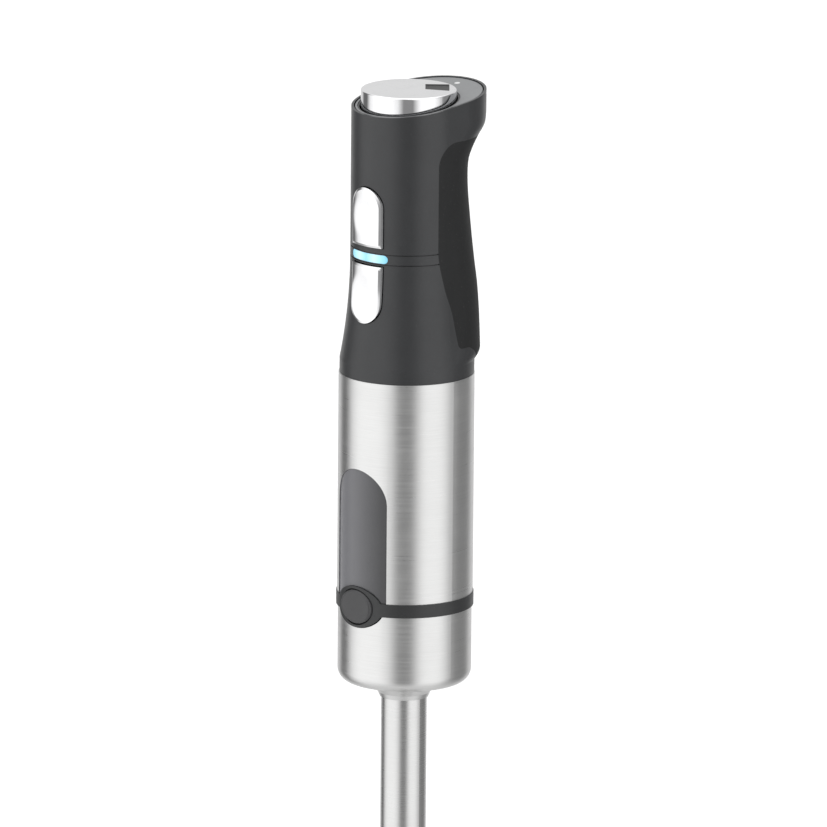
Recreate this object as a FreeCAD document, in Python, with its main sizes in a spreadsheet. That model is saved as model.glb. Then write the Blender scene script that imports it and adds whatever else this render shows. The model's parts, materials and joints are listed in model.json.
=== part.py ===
"""Immersion blender with a lift-off blending foot, as a parametric FreeCAD document.

The origin lies on the shaft's axis at the guard's rim. +Z points up to the speed dial, -Y is the
side with the two triggers, and +Y is the palm side. All sizes are millimetres.
"""
import FreeCAD, Part

import math
import os
import re

import Sketcher

# Driving dimensions: alias, value, what it is.
DIMENSIONS = [
    # blending foot
    ("guard_r", 33.0, "blade guard, outside radius of the skirt"),
    ("guard_wall", 1.3, "blade guard, wall"),
    ("skirt_height", 12.0, "blade guard, height of its upright skirt"),
    ("dome_height", 38.0, "blade guard, height of its roof"),
    ("guard_neck_height", 52.0, "blade guard, top of the neck around the tube"),
    ("notch_width", 10.0, "rim notch, width"),
    ("notch_height", 6.0, "rim notch, height at its crown"),
    ("tube_r", 10.45, "shaft tube, outside radius"),
    ("tube_wall", 0.8, "shaft tube, wall"),
    ("drive_shaft_r", 3.0, "drive shaft, radius"),
    ("blade_z", 14.0, "blade, height of its plate"),
    ("blade_r", 25.0, "blade, tip radius"),
    ("blade_thickness", 1.2, "blade, plate thickness"),
    ("blade_width", 8.0, "blade, width of a wing"),
    ("blade_tilt", 14.0, "blade, how far a wing is bent, in degrees"),
    ("collar_drop", 43.7, "neck collar, from the split line to its lower edge"),
    ("bell_drop", 37.0, "foot bell, from the split line to its underside"),
    ("bell_step", 0.45, "foot bell, how far it lies inside the sleeve's radius"),
    ("bell_wall", 0.9, "foot bell, wall"),
    ("bell_corner_r", 6.0, "foot bell, lower corner radius"),
    ("neck_collar_r", 14.5, "neck collar, upper radius"),
    ("spigot_r", 22.0, "spigot of the foot, radius"),
    ("spigot_height", 10.5, "spigot of the foot, height over the split line"),
    # lower body
    ("split_z", 180.0, "split line between the foot and the motor unit"),
    ("band_height", 6.1, "black band under the steel sleeve, height"),
    ("band_proud", 0.4, "black band, how far it stands out of the sleeve"),
    ("sleeve_r", 31.0, "steel sleeve, outside radius"),
    ("sleeve_wall", 0.7, "steel sleeve, wall"),
    ("sleeve_height", 102.5, "steel sleeve, height"),
    ("liner_wall", 2.9, "plastic liner in the sleeve, wall"),
    ("plaque_half_width", 15.5, "plaque, half width seen from the front"),
    ("plaque_height", 67.2, "plaque, its top over the split line"),
    ("plaque_sink", 0.45, "plaque, how deep it lies under the sleeve's face"),
    ("plaque_thickness", 0.6, "plaque, thickness"),
    ("button_rise", 3.0, "release button, its centre over the split line"),
    ("button_half_width", 9.6, "release button, half width"),
    ("button_half_height", 8.0, "release button, half height"),
    ("button_proud", 0.9, "release button, how far its face stands out of the sleeve's foremost line"),
    ("button_edge_r", 1.4, "release button, rounding of its face"),
    ("button_depth", 5.9, "release button, from its face to its back"),
    ("button_gap", 0.4, "gap around a button"),
    ("bezel_half_width", 14.0, "surround of the release button, half width"),
    ("bezel_half_height", 9.5, "surround of the release button, half height"),
    # handle
    ("collar_step", 0.4, "handle collar, how far it lies inside the sleeve's radius"),
    ("collar_height", 6.4, "handle, height of its lower collar"),
    ("flare_height", 48.0, "handle, height of the flare over the collar"),
    ("grip_r", 26.1, "handle, radius over the flare"),
    ("shell_wall", 2.6, "handle shell, wall"),
    ("grip_skin", 1.6, "soft grip, thickness"),
    ("head_height", 71.4, "head, its slanted rim on the axis over the flare's top"),
    ("head_slope", 0.127, "head, rise of the rim per length towards the palm side"),
    ("head_reach", 12.8, "head, how far its palm side reaches over a plain cylinder"),
    ("rim_wall", 1.2, "head, wall at the rim"),
    ("plate_groove", 0.6, "groove between the rim and the top plate"),
    ("plate_thickness", 2.4, "top plate, thickness"),
    ("plate_ring", 0.9, "top plate, width of its ring in front of the dial"),
    ("dial_gap", 1.55, "gap around the speed dial"),
    ("dial_rise", 5.5, "speed dial, its top over the rim on the axis"),
    ("dial_height", 12.0, "speed dial, height"),
    ("dial_wall", 1.6, "speed dial, wall"),
    ("window_depth", 1.4, "dial window, depth"),
    ("well_wall", 0.8, "dial well, wall"),
    ("well_drop", 9.4, "dial well, its underside under the rim on the axis"),
    ("dial_shaft_r", 3.0, "dial shaft, radius"),
    ("inlet_drop", 4.4, "cord inlet, its axis under the rim on the axis"),
    ("inlet_r", 3.25, "cord inlet, bore radius"),
    # triggers and light
    ("trigger_half_width", 9.35, "trigger, half width"),
    ("trigger_proud", 1.7, "trigger, how far it stands out of the handle"),
    ("trigger_rise", 7.7, "speed trigger, its flat end over the flare's top"),
    ("trigger_length", 27.2, "speed trigger, height"),
    ("turbo_drop", 1.0, "turbo button, its flat end under the flare's top"),
    ("turbo_length", 27.0, "turbo button, height"),
    ("release_travel", 2.5, "release button travel"),
    ("light_rise", 2.45, "light strip, its middle over the flare's top"),
    ("light_height", 3.9, "light strip, height"),
    ("light_half_width", 11.4, "light strip, half width"),
    ("groove_pitch", 4.7, "distance of the two fine grooves"),
    ("groove_depth", 0.5, "fine groove, depth"),
    # motor
    ("shaft_r", 3.0, "motor shaft, radius"),
    ("bearing_r", 9.5, "motor bearing, outside radius"),
    ("bearing_height", 6.0, "motor bearing, height"),
    ("core_rise", 29.9, "motor core, its underside over the sleeve's lower edge"),
    ("core_height", 36.0, "motor core, height"),
    ("bore_r", 14.5, "stator core, bore radius"),
    ("air_gap", 0.5, "gap between stator and armature"),
    ("commutator_r", 9.5, "commutator, radius"),
    ("brush_rise", 13.0, "brushes, their axis over the motor core"),
    ("pole_half_width", 10.0, "stator pole, half width"),
    ("coil_depth", 3.0, "field coil, thickness"),
    ("coil_width", 6.0, "field coil, width of a side"),
    ("screw_y", 22.8, "motor screws, distance from the axis"),
    ("fan_r", 20.5, "cooling fan, radius"),
    ("coupling_r", 5.8, "drive coupling, corner radius of its hexagon"),
    # fits
    ("run_gap", 0.03, "running clearance of a shaft in its bush, on the radius"),
    ("fit_gap", 0.1, "clearance of fixed pieces"),
    ("slide_gap", 0.35, "clearance of moving pieces"),
]
NAMES = re.compile(r"\b(" + "|".join(alias for alias, _, _ in DIMENSIONS) + r")\b")

# Places worked out from the driving dimensions.
SLEEVE_LOW = "(split_z + band_height)"
SLEEVE_TOP = f"({SLEEVE_LOW} + sleeve_height)"
COLLAR_TOP = f"({SLEEVE_TOP} + collar_height)"
FLARE_TOP = f"({COLLAR_TOP} + flare_height)"
HEAD_RIM = f"({FLARE_TOP} + head_height)"
SLEEVE_BORE = "(sleeve_r - sleeve_wall)"
LINER_R = f"({SLEEVE_BORE} - fit_gap)"
LINER_BORE = f"({LINER_R} - liner_wall)"
CORE_R = f"({LINER_BORE} - fit_gap)"
BELL_R = "(sleeve_r - bell_step)"
BELL_LOW = "(split_z - bell_drop)"
COLLAR_LOW = "(split_z - collar_drop)"
SPIGOT_TOP = "(split_z + spigot_height)"
SOCKET_TOP = f"({SPIGOT_TOP} + 1)"
FLOOR_TOP = f"({SOCKET_TOP} + 3)"
CORE_LOW = f"({SLEEVE_LOW} + core_rise)"
CORE_TOP = f"({CORE_LOW} + core_height)"
BRUSH_Z = f"({CORE_TOP} + brush_rise)"
LOWER_BEARING = f"({FLOOR_TOP} + 1)"
UPPER_BEARING = f"({BRUSH_Z} + 9)"
BUTTON_Z = "(split_z + button_rise)"
BUTTON_FACE = "(sleeve_r + button_proud)"
BUTTON_BACK = f"(button_depth - {BUTTON_FACE})"
COLLAR_R = "(sleeve_r - collar_step)"
FLARE_RISE = f"({COLLAR_R} - grip_r)"
FLARE_ARC = f"((flare_height^2 + {FLARE_RISE}^2) / (2 * {FLARE_RISE}))"
RIM_INSIDE = "(grip_r - rim_wall)"
PLATE_HOLE_R = "(grip_r - rim_wall - plate_groove - plate_ring)"
DIAL_R = f"({PLATE_HOLE_R} - dial_gap)"
DIAL_TOP = f"({HEAD_RIM} + dial_rise)"
WELL_R = f"({PLATE_HOLE_R} - fit_gap)"
WELL_FLOOR = f"({HEAD_RIM} - well_drop)"
INLET_Z = f"({HEAD_RIM} - inlet_drop)"
TRIGGER_LOW = f"({FLARE_TOP} + trigger_rise)"
TRIGGER_HIGH = f"({TRIGGER_LOW} + trigger_length)"
TURBO_HIGH = f"({FLARE_TOP} - turbo_drop)"
TURBO_LOW = f"({TURBO_HIGH} - turbo_length)"
LIGHT_Z = f"({FLARE_TOP} + light_rise)"
CARRIER_Y = "(17.1 - grip_r)"
LATCH_Z = f"({SLEEVE_LOW} + 0.4)"
BODY_FRONT = "(-sleeve_r - 9)"  # where cuts from the front of the lower body start
GRIP_FRONT = "(-grip_r - 14)"  # the same for the handle
LATCH_HEIGHT = 2.6

doc = FreeCAD.newDocument("ImmersionBlender")
sheet = doc.addObject("Spreadsheet::Sheet", "Dims")
nodes = {}


def fill_sheet():
    """Write the driving dimensions to the sheet."""
    for row, (alias, value, note) in enumerate(DIMENSIONS, start=1):
        sheet.set(f"A{row}", note)
        sheet.set(f"B{row}", str(value))
        sheet.setAlias(f"B{row}", alias)
    doc.recompute()


def formula(text):
    """The expression that reads the named sizes in text from the sheet."""
    return NAMES.sub(r"Dims.\1", str(text))


def size(text):
    """The present value of an expression."""
    return float(sheet.evalExpression(formula(text)))


def bind(thing, **properties):
    """Bind properties of an object to expressions; x, y and z are its place."""
    for name, text in properties.items():
        path = f"Placement.Base.{name}" if name in ("x", "y", "z") else name
        thing.setExpression(path, formula(text))
    return thing


def turned(thing, axis, angle):
    """Turn a primitive about an axis through its own origin."""
    thing.Placement = FreeCAD.Placement(FreeCAD.Vector(), FreeCAD.Rotation(FreeCAD.Vector(*axis), angle))
    return thing


TO_Y = ((1, 0, 0), -90)  # a primitive's Z onto +Y
TO_X = ((0, 1, 0), 90)  # a primitive's Z onto +X


def cylinder(name, radius, height, turn=None, x=0, y=0, z=0):
    """A cylinder on Z, or on the axis that turn gives."""
    thing = doc.addObject("Part::Cylinder", name)
    if turn:
        turned(thing, *turn)
    return bind(thing, Radius=radius, Height=height, x=x, y=y, z=z)


def box(name, x, y, z, length, width, height):
    """A box from its low corner."""
    thing = doc.addObject("Part::Box", name)
    return bind(thing, x=x, y=y, z=z, Length=length, Width=width, Height=height)


def wide_box(name, half_x, y, z, width, height):
    """A box that is symmetric in X."""
    return box(name, f"-({half_x})", y, z, f"2 * ({half_x})", width, height)


def cut(name, base, *tools):
    """Base without the tools."""
    thing = doc.addObject("Part::Cut", name)
    thing.Base = base
    thing.Tool = tools[0] if len(tools) == 1 else fuse(name + "_tools", *tools)
    return thing


def fuse(name, *things):
    """All things as one."""
    thing = doc.addObject("Part::MultiFuse", name)
    thing.Shapes = list(things)
    return thing


def common(name, *things):
    """What all things share."""
    thing = doc.addObject("Part::MultiCommon", name)
    thing.Shapes = list(things)
    return thing


def group(name, *things):
    """Separate solids in one node."""
    thing = doc.addObject("Part::Compound", name)
    thing.Links = list(things)
    return thing


def tube(name, outer, inner, low, height, turn=None, x=0, y=0):
    """A straight tube on Z, or on the axis that turn gives, where low is then its start."""
    start = {"x": x, "y": y, "z": low}
    return cut(
        name,
        cylinder(name + "_outside", outer, height, turn, **start),
        cylinder(name + "_bore", inner, height, turn, **start),
    )


def outline_sketch(body, name, role, points):
    """A closed polygon in a body's origin plane, each corner bound to two expressions."""
    sketch = body.newObject("Sketcher::SketchObject", name)
    plane = next(f for f in body.Origin.OriginFeatures if f.Role == role)
    sketch.AttachmentSupport = [(plane, "")]
    sketch.MapMode = "FlatFace"
    corners = [FreeCAD.Vector(size(u), size(v), 0) for u, v in points]
    count = len(corners)
    for i, corner in enumerate(corners):
        sketch.addGeometry(Part.LineSegment(corner, corners[(i + 1) % count]))
    for i in range(count):
        sketch.addConstraint(Sketcher.Constraint("Coincident", i, 2, (i + 1) % count, 1))
    for i, (texts, corner) in enumerate(zip(points, corners)):
        for kind, axis, text, value in zip(("DistanceX", "DistanceY"), (-2, -1), texts, corner):
            if text == "0":
                sketch.addConstraint(Sketcher.Constraint("PointOnObject", i, 1, axis))
                continue
            index = sketch.addConstraint(Sketcher.Constraint(kind, i, 1, value))
            sketch.setExpression(f"Constraints[{index}]", formula(text))
    return sketch


def revolved(name, points):
    """A body of revolution about Z from its half outline of (radius, height) corners."""
    body = doc.addObject("PartDesign::Body", name)
    sketch = outline_sketch(body, name + "_outline", "XZ_Plane", points)
    turn = body.newObject("PartDesign::Revolution", name + "_turn")
    turn.Profile = sketch
    turn.ReferenceAxis = (sketch, ["V_Axis"])
    turn.Angle = 360
    return body


def side_prism(name, points, half_width):
    """A prism across X from its side outline of (y, z) corners."""
    body = doc.addObject("PartDesign::Body", name)
    sketch = outline_sketch(body, name + "_outline", "YZ_Plane", points)
    pad = body.newObject("PartDesign::Pad", name + "_pad")
    pad.Profile = sketch
    pad.SideType = "Symmetric"
    pad.setExpression("Length", formula(f"2 * ({half_width})"))
    return body


def round_edges(name, base, radius, wanted):
    """Fillet the edges of a finished object that the test wanted accepts."""
    doc.recompute()
    value = size(radius)
    edges = [i for i, edge in enumerate(base.Shape.Edges, start=1) if wanted(edge)]
    if not edges:
        raise RuntimeError(f"{name}: no edge to round")
    thing = doc.addObject("Part::Fillet", name)
    thing.Base = base
    thing.Edges = [(i, value, value) for i in edges]
    return thing


def ring_edge(radius, height):
    """A test for the circular edge of this radius at this height."""
    r, z = size(radius), size(height)

    def wanted(edge):
        circle = edge.Curve
        return (
            isinstance(circle, Part.Circle)
            and abs(circle.Radius - r) < 0.01
            and abs(circle.Center.z - z) < 0.01
        )

    return wanted


def front_edge(y):
    """A test for the edges that lie in the upright plane at y."""
    place = size(y)

    def wanted(edge):
        box = edge.BoundBox
        return abs(box.YMin - place) < 0.001 and abs(box.YMax - place) < 0.001

    return wanted


def ellipse_prism(name, half_width, half_height, height, y, length):
    """An elliptic prism along +Y from y, with its axis at this height."""
    ellipse = doc.addObject("Part::Ellipse", name + "_ellipse")
    turned(ellipse, (1, 0, 0), 90)
    bind(ellipse, MajorRadius=half_width, MinorRadius=half_height, y=y, z=height)
    prism = doc.addObject("Part::Extrusion", name)
    prism.Base = ellipse
    prism.DirMode = "Custom"
    prism.Dir = (0, 1, 0)
    prism.Solid = True
    prism.setExpression("LengthFwd", formula(length))
    return prism


def arch_prism(name, half_width, flat_z, crown_z, y, length):
    """A prism along +Y with a flat end at flat_z and a round end that reaches crown_z."""
    up = size(crown_z) > size(flat_z)
    centre = f"({crown_z} - ({half_width}))" if up else f"({crown_z} + ({half_width}))"
    low, high = (flat_z, centre) if up else (centre, flat_z)
    return fuse(
        name,
        wide_box(name + "_straight", half_width, y, low, length, f"{high} - {low}"),
        cylinder(name + "_round", half_width, length, TO_Y, y=y, z=centre),
    )


def spring(name, radius, wire, turns, length, turn, x=0, y=0, z=0):
    """A coil spring of round wire, from its start along the axis that turn gives."""
    helix = doc.addObject("Part::Helix", name + "_path")
    bind(helix, Radius=radius, Height=length, Pitch=f"({length}) / {turns}")
    section = turned(doc.addObject("Part::Circle", name + "_section"), (1, 0, 0), 90)
    bind(section, Radius=wire, x=radius)
    sweep = doc.addObject("Part::Sweep", name + "_coil")
    sweep.Sections = [section]
    sweep.Spine = (helix, [])
    sweep.Solid = True
    sweep.Frenet = True
    coil = doc.addObject("Part::Compound", name)
    coil.Links = [sweep]
    turned(coil, *turn)
    return bind(coil, x=x, y=y, z=z)


def keep(**made):
    """List objects as sub-parts under their node names."""
    for name, thing in made.items():
        thing.Label = name
        nodes[name] = thing


# ---------------------------------------------------------------- the handle's form

def handle_radius(height):
    """The handle's radius at a height: a concave arc over the flare, upright at its top, then even."""
    if size(height) >= size(FLARE_TOP):
        return "grip_r"
    return f"(grip_r + {FLARE_ARC} - sqrt({FLARE_ARC}^2 - ({FLARE_TOP} - {height})^2))"


def blended(values, share):
    """The value at a share of the way from the second to the third of four on their smooth curve."""
    t = share
    weights = [
        (2 * t**2 - t**3 - t) / 2,
        (3 * t**3 - 5 * t**2 + 2) / 2,
        (4 * t**2 - 3 * t**3 + t) / 2,
        (t**3 - t**2) / 2,
    ]
    return "(" + " + ".join(f"{weight} * {value}" for weight, value in zip(weights, values)) + ")"


# Palm-side reach of the handle at shares of the flare's height, then of the valley's over it, and
# as shares of the head's reach at drops under the rim.
HEEL = [(0.07, 4.4), (0.16, 5.6), (0.33, 6.8), (0.52, 7.5), (0.73, 7.3), (0.96, 5.8)]
VALLEY = [(0.18, 4.2), (0.43, 2.6), (0.67, 1.4), (0.88, 1.6)]
BEAK = [(22.4, 0.30), (16.4, 0.62), (12.9, 0.86), (10.4, 0.96), (6.4, 1.0)]


def handle_levels():
    """Height, radius and palm-side reach of the handle's sections, from the collar up."""
    marks = [(COLLAR_TOP, "0.4")]
    marks += [(f"({COLLAR_TOP} + flare_height * {share})", f"{reach}") for share, reach in HEEL]
    marks += [(f"({FLARE_TOP} + (head_height - 22.4) * {share})", f"{reach}") for share, reach in VALLEY]
    marks += [(f"({HEAD_RIM} - {drop})", f"(head_reach * {share})") for drop, share in BEAK]
    levels = [(SLEEVE_TOP, COLLAR_R, "0.3")]
    for i, (height, reach) in enumerate(marks[:-1]):
        four = [marks[max(i - 1, 0)], marks[i], marks[i + 1], marks[min(i + 2, len(marks) - 1)]]
        levels.append((height, handle_radius(height), reach))
        for share in (1 / 3, 2 / 3):
            middle = blended([mark[0] for mark in four], share)
            levels.append((middle, handle_radius(middle), blended([mark[1] for mark in four], share)))
    for height in (marks[-1][0], f"({HEAD_RIM} + 12)"):
        levels.append((height, "grip_r", "head_reach"))
    return levels


def stadium_sketch(name, height, radius, reach):
    """Two half circles of one radius, the second one moved towards the palm, with their tangents."""
    sketch = doc.addObject("Sketcher::SketchObject", name)
    r, d = size(radius), size(reach)
    centres = [FreeCAD.Vector(0, 0, 0), FreeCAD.Vector(0, d, 0)]
    sketch.addGeometry(Part.ArcOfCircle(Part.Circle(centres[0], FreeCAD.Vector(0, 0, 1), r), -math.pi, 0))
    sketch.addGeometry(Part.LineSegment(FreeCAD.Vector(r, 0, 0), FreeCAD.Vector(r, d, 0)))
    sketch.addGeometry(Part.ArcOfCircle(Part.Circle(centres[1], FreeCAD.Vector(0, 0, 1), r), 0, math.pi))
    sketch.addGeometry(Part.LineSegment(FreeCAD.Vector(-r, d, 0), FreeCAD.Vector(-r, 0, 0)))
    for start, end in ((0, 1), (1, 2), (2, 3), (3, 0)):
        sketch.addConstraint(Sketcher.Constraint("Coincident", start, 2, end, 1))
    sketch.addConstraint(Sketcher.Constraint("Coincident", 0, 3, -1, 1))
    sketch.addConstraint(Sketcher.Constraint("PointOnObject", 2, 3, -2))
    for end in (1, 2):
        sketch.addConstraint(Sketcher.Constraint("PointOnObject", 0, end, -1))
        sketch.addConstraint(Sketcher.Constraint("Horizontal", 2, end, 2, 3))
    for arc in (0, 2):
        index = sketch.addConstraint(Sketcher.Constraint("Radius", arc, r))
        sketch.setExpression(f"Constraints[{index}]", formula(radius))
    index = sketch.addConstraint(Sketcher.Constraint("DistanceY", -1, 1, 2, 3, d))
    sketch.setExpression(f"Constraints[{index}]", formula(reach))
    return bind(sketch, z=height)


def handle_form(name, offset):
    """The handle's outer form, grown outwards by offset (inwards where it is negative)."""
    sections = [
        stadium_sketch(f"{name}_section_{i}", height, f"({radius} + {offset})", reach)
        for i, (height, radius, reach) in enumerate(handle_levels())
    ]
    form = doc.addObject("Part::Loft", name)
    form.Sections = sections
    form.Solid = True
    form.Ruled = True
    return form


def stadium_prism(name, radius, low, height):
    """An upright prism with the head's own outline."""
    return fuse(
        name,
        cylinder(name + "_front", radius, height, z=low),
        cylinder(name + "_back", radius, height, y="head_reach", z=low),
        box(name + "_between", f"-({radius})", 0, low, f"2 * ({radius})", "head_reach", height),
    )


def above_slant(name, lift):
    """Everything over the head's slanted plane, moved up by lift."""
    reach = 80
    block = turned(doc.addObject("Part::Box", name), (1, 0, 0), math.degrees(math.atan(size("head_slope"))))
    bind(block, Length=2 * reach, Width=2 * reach, Height=reach, x=-reach, y=-reach)
    bind(block, z=f"{HEAD_RIM} + ({lift}) - head_slope * {reach}")
    block.setExpression("Placement.Rotation.Angle", formula("atan(head_slope)"))
    return block


# ---------------------------------------------------------------- blending foot

def make_guard():
    """Steel bell around the blade, with rim notches and a neck that takes the shaft tube."""
    roof = "(dome_height)"
    neck_r = "(tube_r + 1.7)"
    shell = revolved(
        "guard_shell",
        [
            ("guard_r - guard_wall", "0"),
            ("guard_r", "0"),
            ("guard_r", "skirt_height"),
            ("guard_r - 5", f"{roof} - 10"),
            (f"{neck_r} + 4", roof),
            (neck_r, f"{roof} + 4"),
            (neck_r, "guard_neck_height"),
            ("tube_r + fit_gap", "guard_neck_height"),
            ("tube_r + fit_gap", f"{roof} - 1"),
            ("5.2", f"{roof} - 1"),
            ("5.2", f"{roof} - 8"),
            ("7.6", f"{roof} - 8"),
            ("9.2", f"{roof} - 3.2"),
            (f"{neck_r} + 2", f"{roof} - 3.2"),
            ("guard_r - 5 - guard_wall", f"{roof} - 11.5"),
            ("guard_r - guard_wall", "skirt_height - 0.4"),
        ],
    )
    shoulder = round_edges("guard_shoulder", shell, "5", ring_edge("guard_r - 5", f"{roof} - 10"))
    slots = []
    for name, turn in (("guard_slot_x", TO_X), ("guard_slot_y", TO_Y)):
        start = {"x": "-guard_r - 1"} if turn is TO_X else {"y": "-guard_r - 1"}
        across = cylinder(
            name + "_crown", "notch_width / 2", "2 * guard_r + 2", turn,
            z="notch_height - notch_width / 2", **start
        )
        slots.append(across)
    return cut("blade_guard", shoulder, *slots)


def make_blade():
    """Cross of four wings on a hub, two bent up and two bent down."""
    hub_r = "(drive_shaft_r + 4)"
    root = 5.3
    cross = [cylinder("blade_hub", hub_r, "blade_thickness + 3", z="blade_z - 1.5")]
    for i in range(4):
        wing = doc.addObject("Part::Box", f"blade_wing_{i}")
        tilt = size("blade_tilt") * (1 if i % 2 else -1)
        spin = FreeCAD.Rotation(FreeCAD.Vector(0, 0, 1), 90 * i + 22)
        lean = FreeCAD.Rotation(FreeCAD.Vector(0, 1, 0), tilt)
        start = spin.multVec(FreeCAD.Vector(root, -size("blade_width") / 2, 0))
        wing.Placement = FreeCAD.Placement(start, spin.multiply(lean))
        cross.append(
            bind(wing, Length=f"blade_r - {root}", Width="blade_width", Height="blade_thickness",
                 z="blade_z")
        )
    return cut("blade", fuse("blade_cross", *cross), cylinder("blade_bore", "drive_shaft_r + 0.01", 40))


def make_foot():
    """The foot: bell, coupler, neck collar, tube, guard, bushes and seal."""
    bell = revolved(
        "bell_blank",
        [
            ("neck_collar_r", BELL_LOW),
            (BELL_R, f"{BELL_LOW} + 1.6"),
            (BELL_R, "split_z"),
            (f"{BELL_R} - bell_wall", "split_z"),
            (f"{BELL_R} - bell_wall", f"{BELL_LOW} + 2.6"),
            ("neck_collar_r", f"{BELL_LOW} + 1"),
        ],
    )
    outer = round_edges("bell_round", bell, "bell_corner_r", ring_edge(BELL_R, f"{BELL_LOW} + 1.6"))
    inner = round_edges(
        "bell_shell", outer, "bell_corner_r - bell_wall",
        ring_edge(f"{BELL_R} - bell_wall", f"{BELL_LOW} + 2.6"),
    )
    clear = "slide_gap"
    notch = ellipse_prism(
        "bell_notch", f"bezel_half_width + {clear}", f"bezel_half_height + {clear}", BUTTON_Z, BODY_FRONT,
        "sleeve_r + 9 - spigot_r - 2.5"
    )
    keep(foot_bell=cut("foot_bell", inner, notch))
    fill_r = f"({BELL_R} - bell_wall - fit_gap)"
    blank = revolved(
        "coupler_blank",
        [
            ("tube_r + fit_gap", f"{BELL_LOW} + 3"),
            (f"{fill_r} - 6.5", f"{BELL_LOW} + 3"),
            (fill_r, f"{BELL_LOW} + 9.5"),
            (fill_r, "split_z - 0.3"),
            ("spigot_r", "split_z - 0.3"),
            ("spigot_r", "split_z + 5.5"),
            ("spigot_r - 1.5", "split_z + 5.5"),
            ("spigot_r - 1.5", "split_z + 9.4"),
            ("spigot_r", "split_z + 9.4"),
            ("spigot_r", SPIGOT_TOP),
            ("spigot_r - 4.5", SPIGOT_TOP),
            ("spigot_r - 4.5", "split_z"),
            ("coupling_r + 4.5", "split_z - 18"),
            ("tube_r + fit_gap", "split_z - 18"),
        ],
    )
    back = "(spigot_r + 0.6)"
    clearing = ellipse_prism(
        "coupler_notch", f"bezel_half_width + {clear}", f"bezel_half_height + {clear}", BUTTON_Z,
        BODY_FRONT,
        f"sleeve_r + 9 - {back}",
    )
    keep(foot_coupler=cut("foot_coupler", blank, clearing))
    keep(
        neck_collar=revolved(
            "neck_collar",
            [
                ("tube_r + fit_gap", COLLAR_LOW),
                ("tube_r + 0.7", COLLAR_LOW),
                ("tube_r + 1.6", f"{COLLAR_LOW} + 2.2"),
                ("neck_collar_r - 0.1", f"{BELL_LOW} - 1.6"),
                ("neck_collar_r - 0.1", f"{BELL_LOW} + 2.8"),
                ("tube_r + fit_gap", f"{BELL_LOW} + 2.8"),
            ],
        )
    )
    tube_low = "(dome_height)"
    tube_top = "(split_z - 20)"
    keep(
        shaft_tube=tube("shaft_tube", "tube_r", "tube_r - tube_wall", tube_low, f"{tube_top} - {tube_low}"),
        blade_guard=make_guard(),
    )
    bush_r = "(tube_r - tube_wall - fit_gap)"
    bore = "(drive_shaft_r + run_gap)"
    keep(
        foot_bushes=group(
            "foot_bushes",
            tube("lower_bush", bush_r, bore, f"{tube_low} + 2", 14),
            tube("upper_bush", bush_r, bore, f"{tube_top} - 16", 14),
        ),
        shaft_seal=tube("shaft_seal", "5.1", bore, "dome_height - 7.6", 6.4),
    )


def make_blade_shaft():
    """What turns in the foot: shaft, female coupling, blade and nut."""
    bore = "(drive_shaft_r + 0.01)"
    shaft_top = "(split_z - 12)"
    keep(drive_shaft=cylinder("drive_shaft", "drive_shaft_r", f"{shaft_top} - 8", z=8))
    cup = cylinder("driven_cup", "coupling_r + 2.6", 19, z="split_z - 16")
    socket = doc.addObject("Part::Prism", "driven_socket")
    socket.Polygon = 6
    bind(socket, Circumradius="coupling_r + slide_gap * 1.155", Height=16, z="split_z - 11")
    keep(
        driven_coupling=cut("driven_coupling", cup, socket,
                            cylinder("driven_bore", bore, 100, z="split_z - 100")),
        blade=make_blade(),
    )
    nut = doc.addObject("Part::Prism", "nut_body")
    nut.Polygon = 6
    bind(nut, Circumradius="drive_shaft_r + 2.4", Height=3.4, z="blade_z - 5")
    keep(blade_nut=cut("blade_nut", nut, cylinder("nut_bore", bore, 20)))


# ---------------------------------------------------------------- lower body

def plaque_prism(name, grow):
    """A prism along Y with the plaque's outline, grown by a clearance."""
    return arch_prism(name, f"plaque_half_width + {grow}", "split_z", f"(split_z + plaque_height + {grow})",
                      BODY_FRONT, 25)


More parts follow.
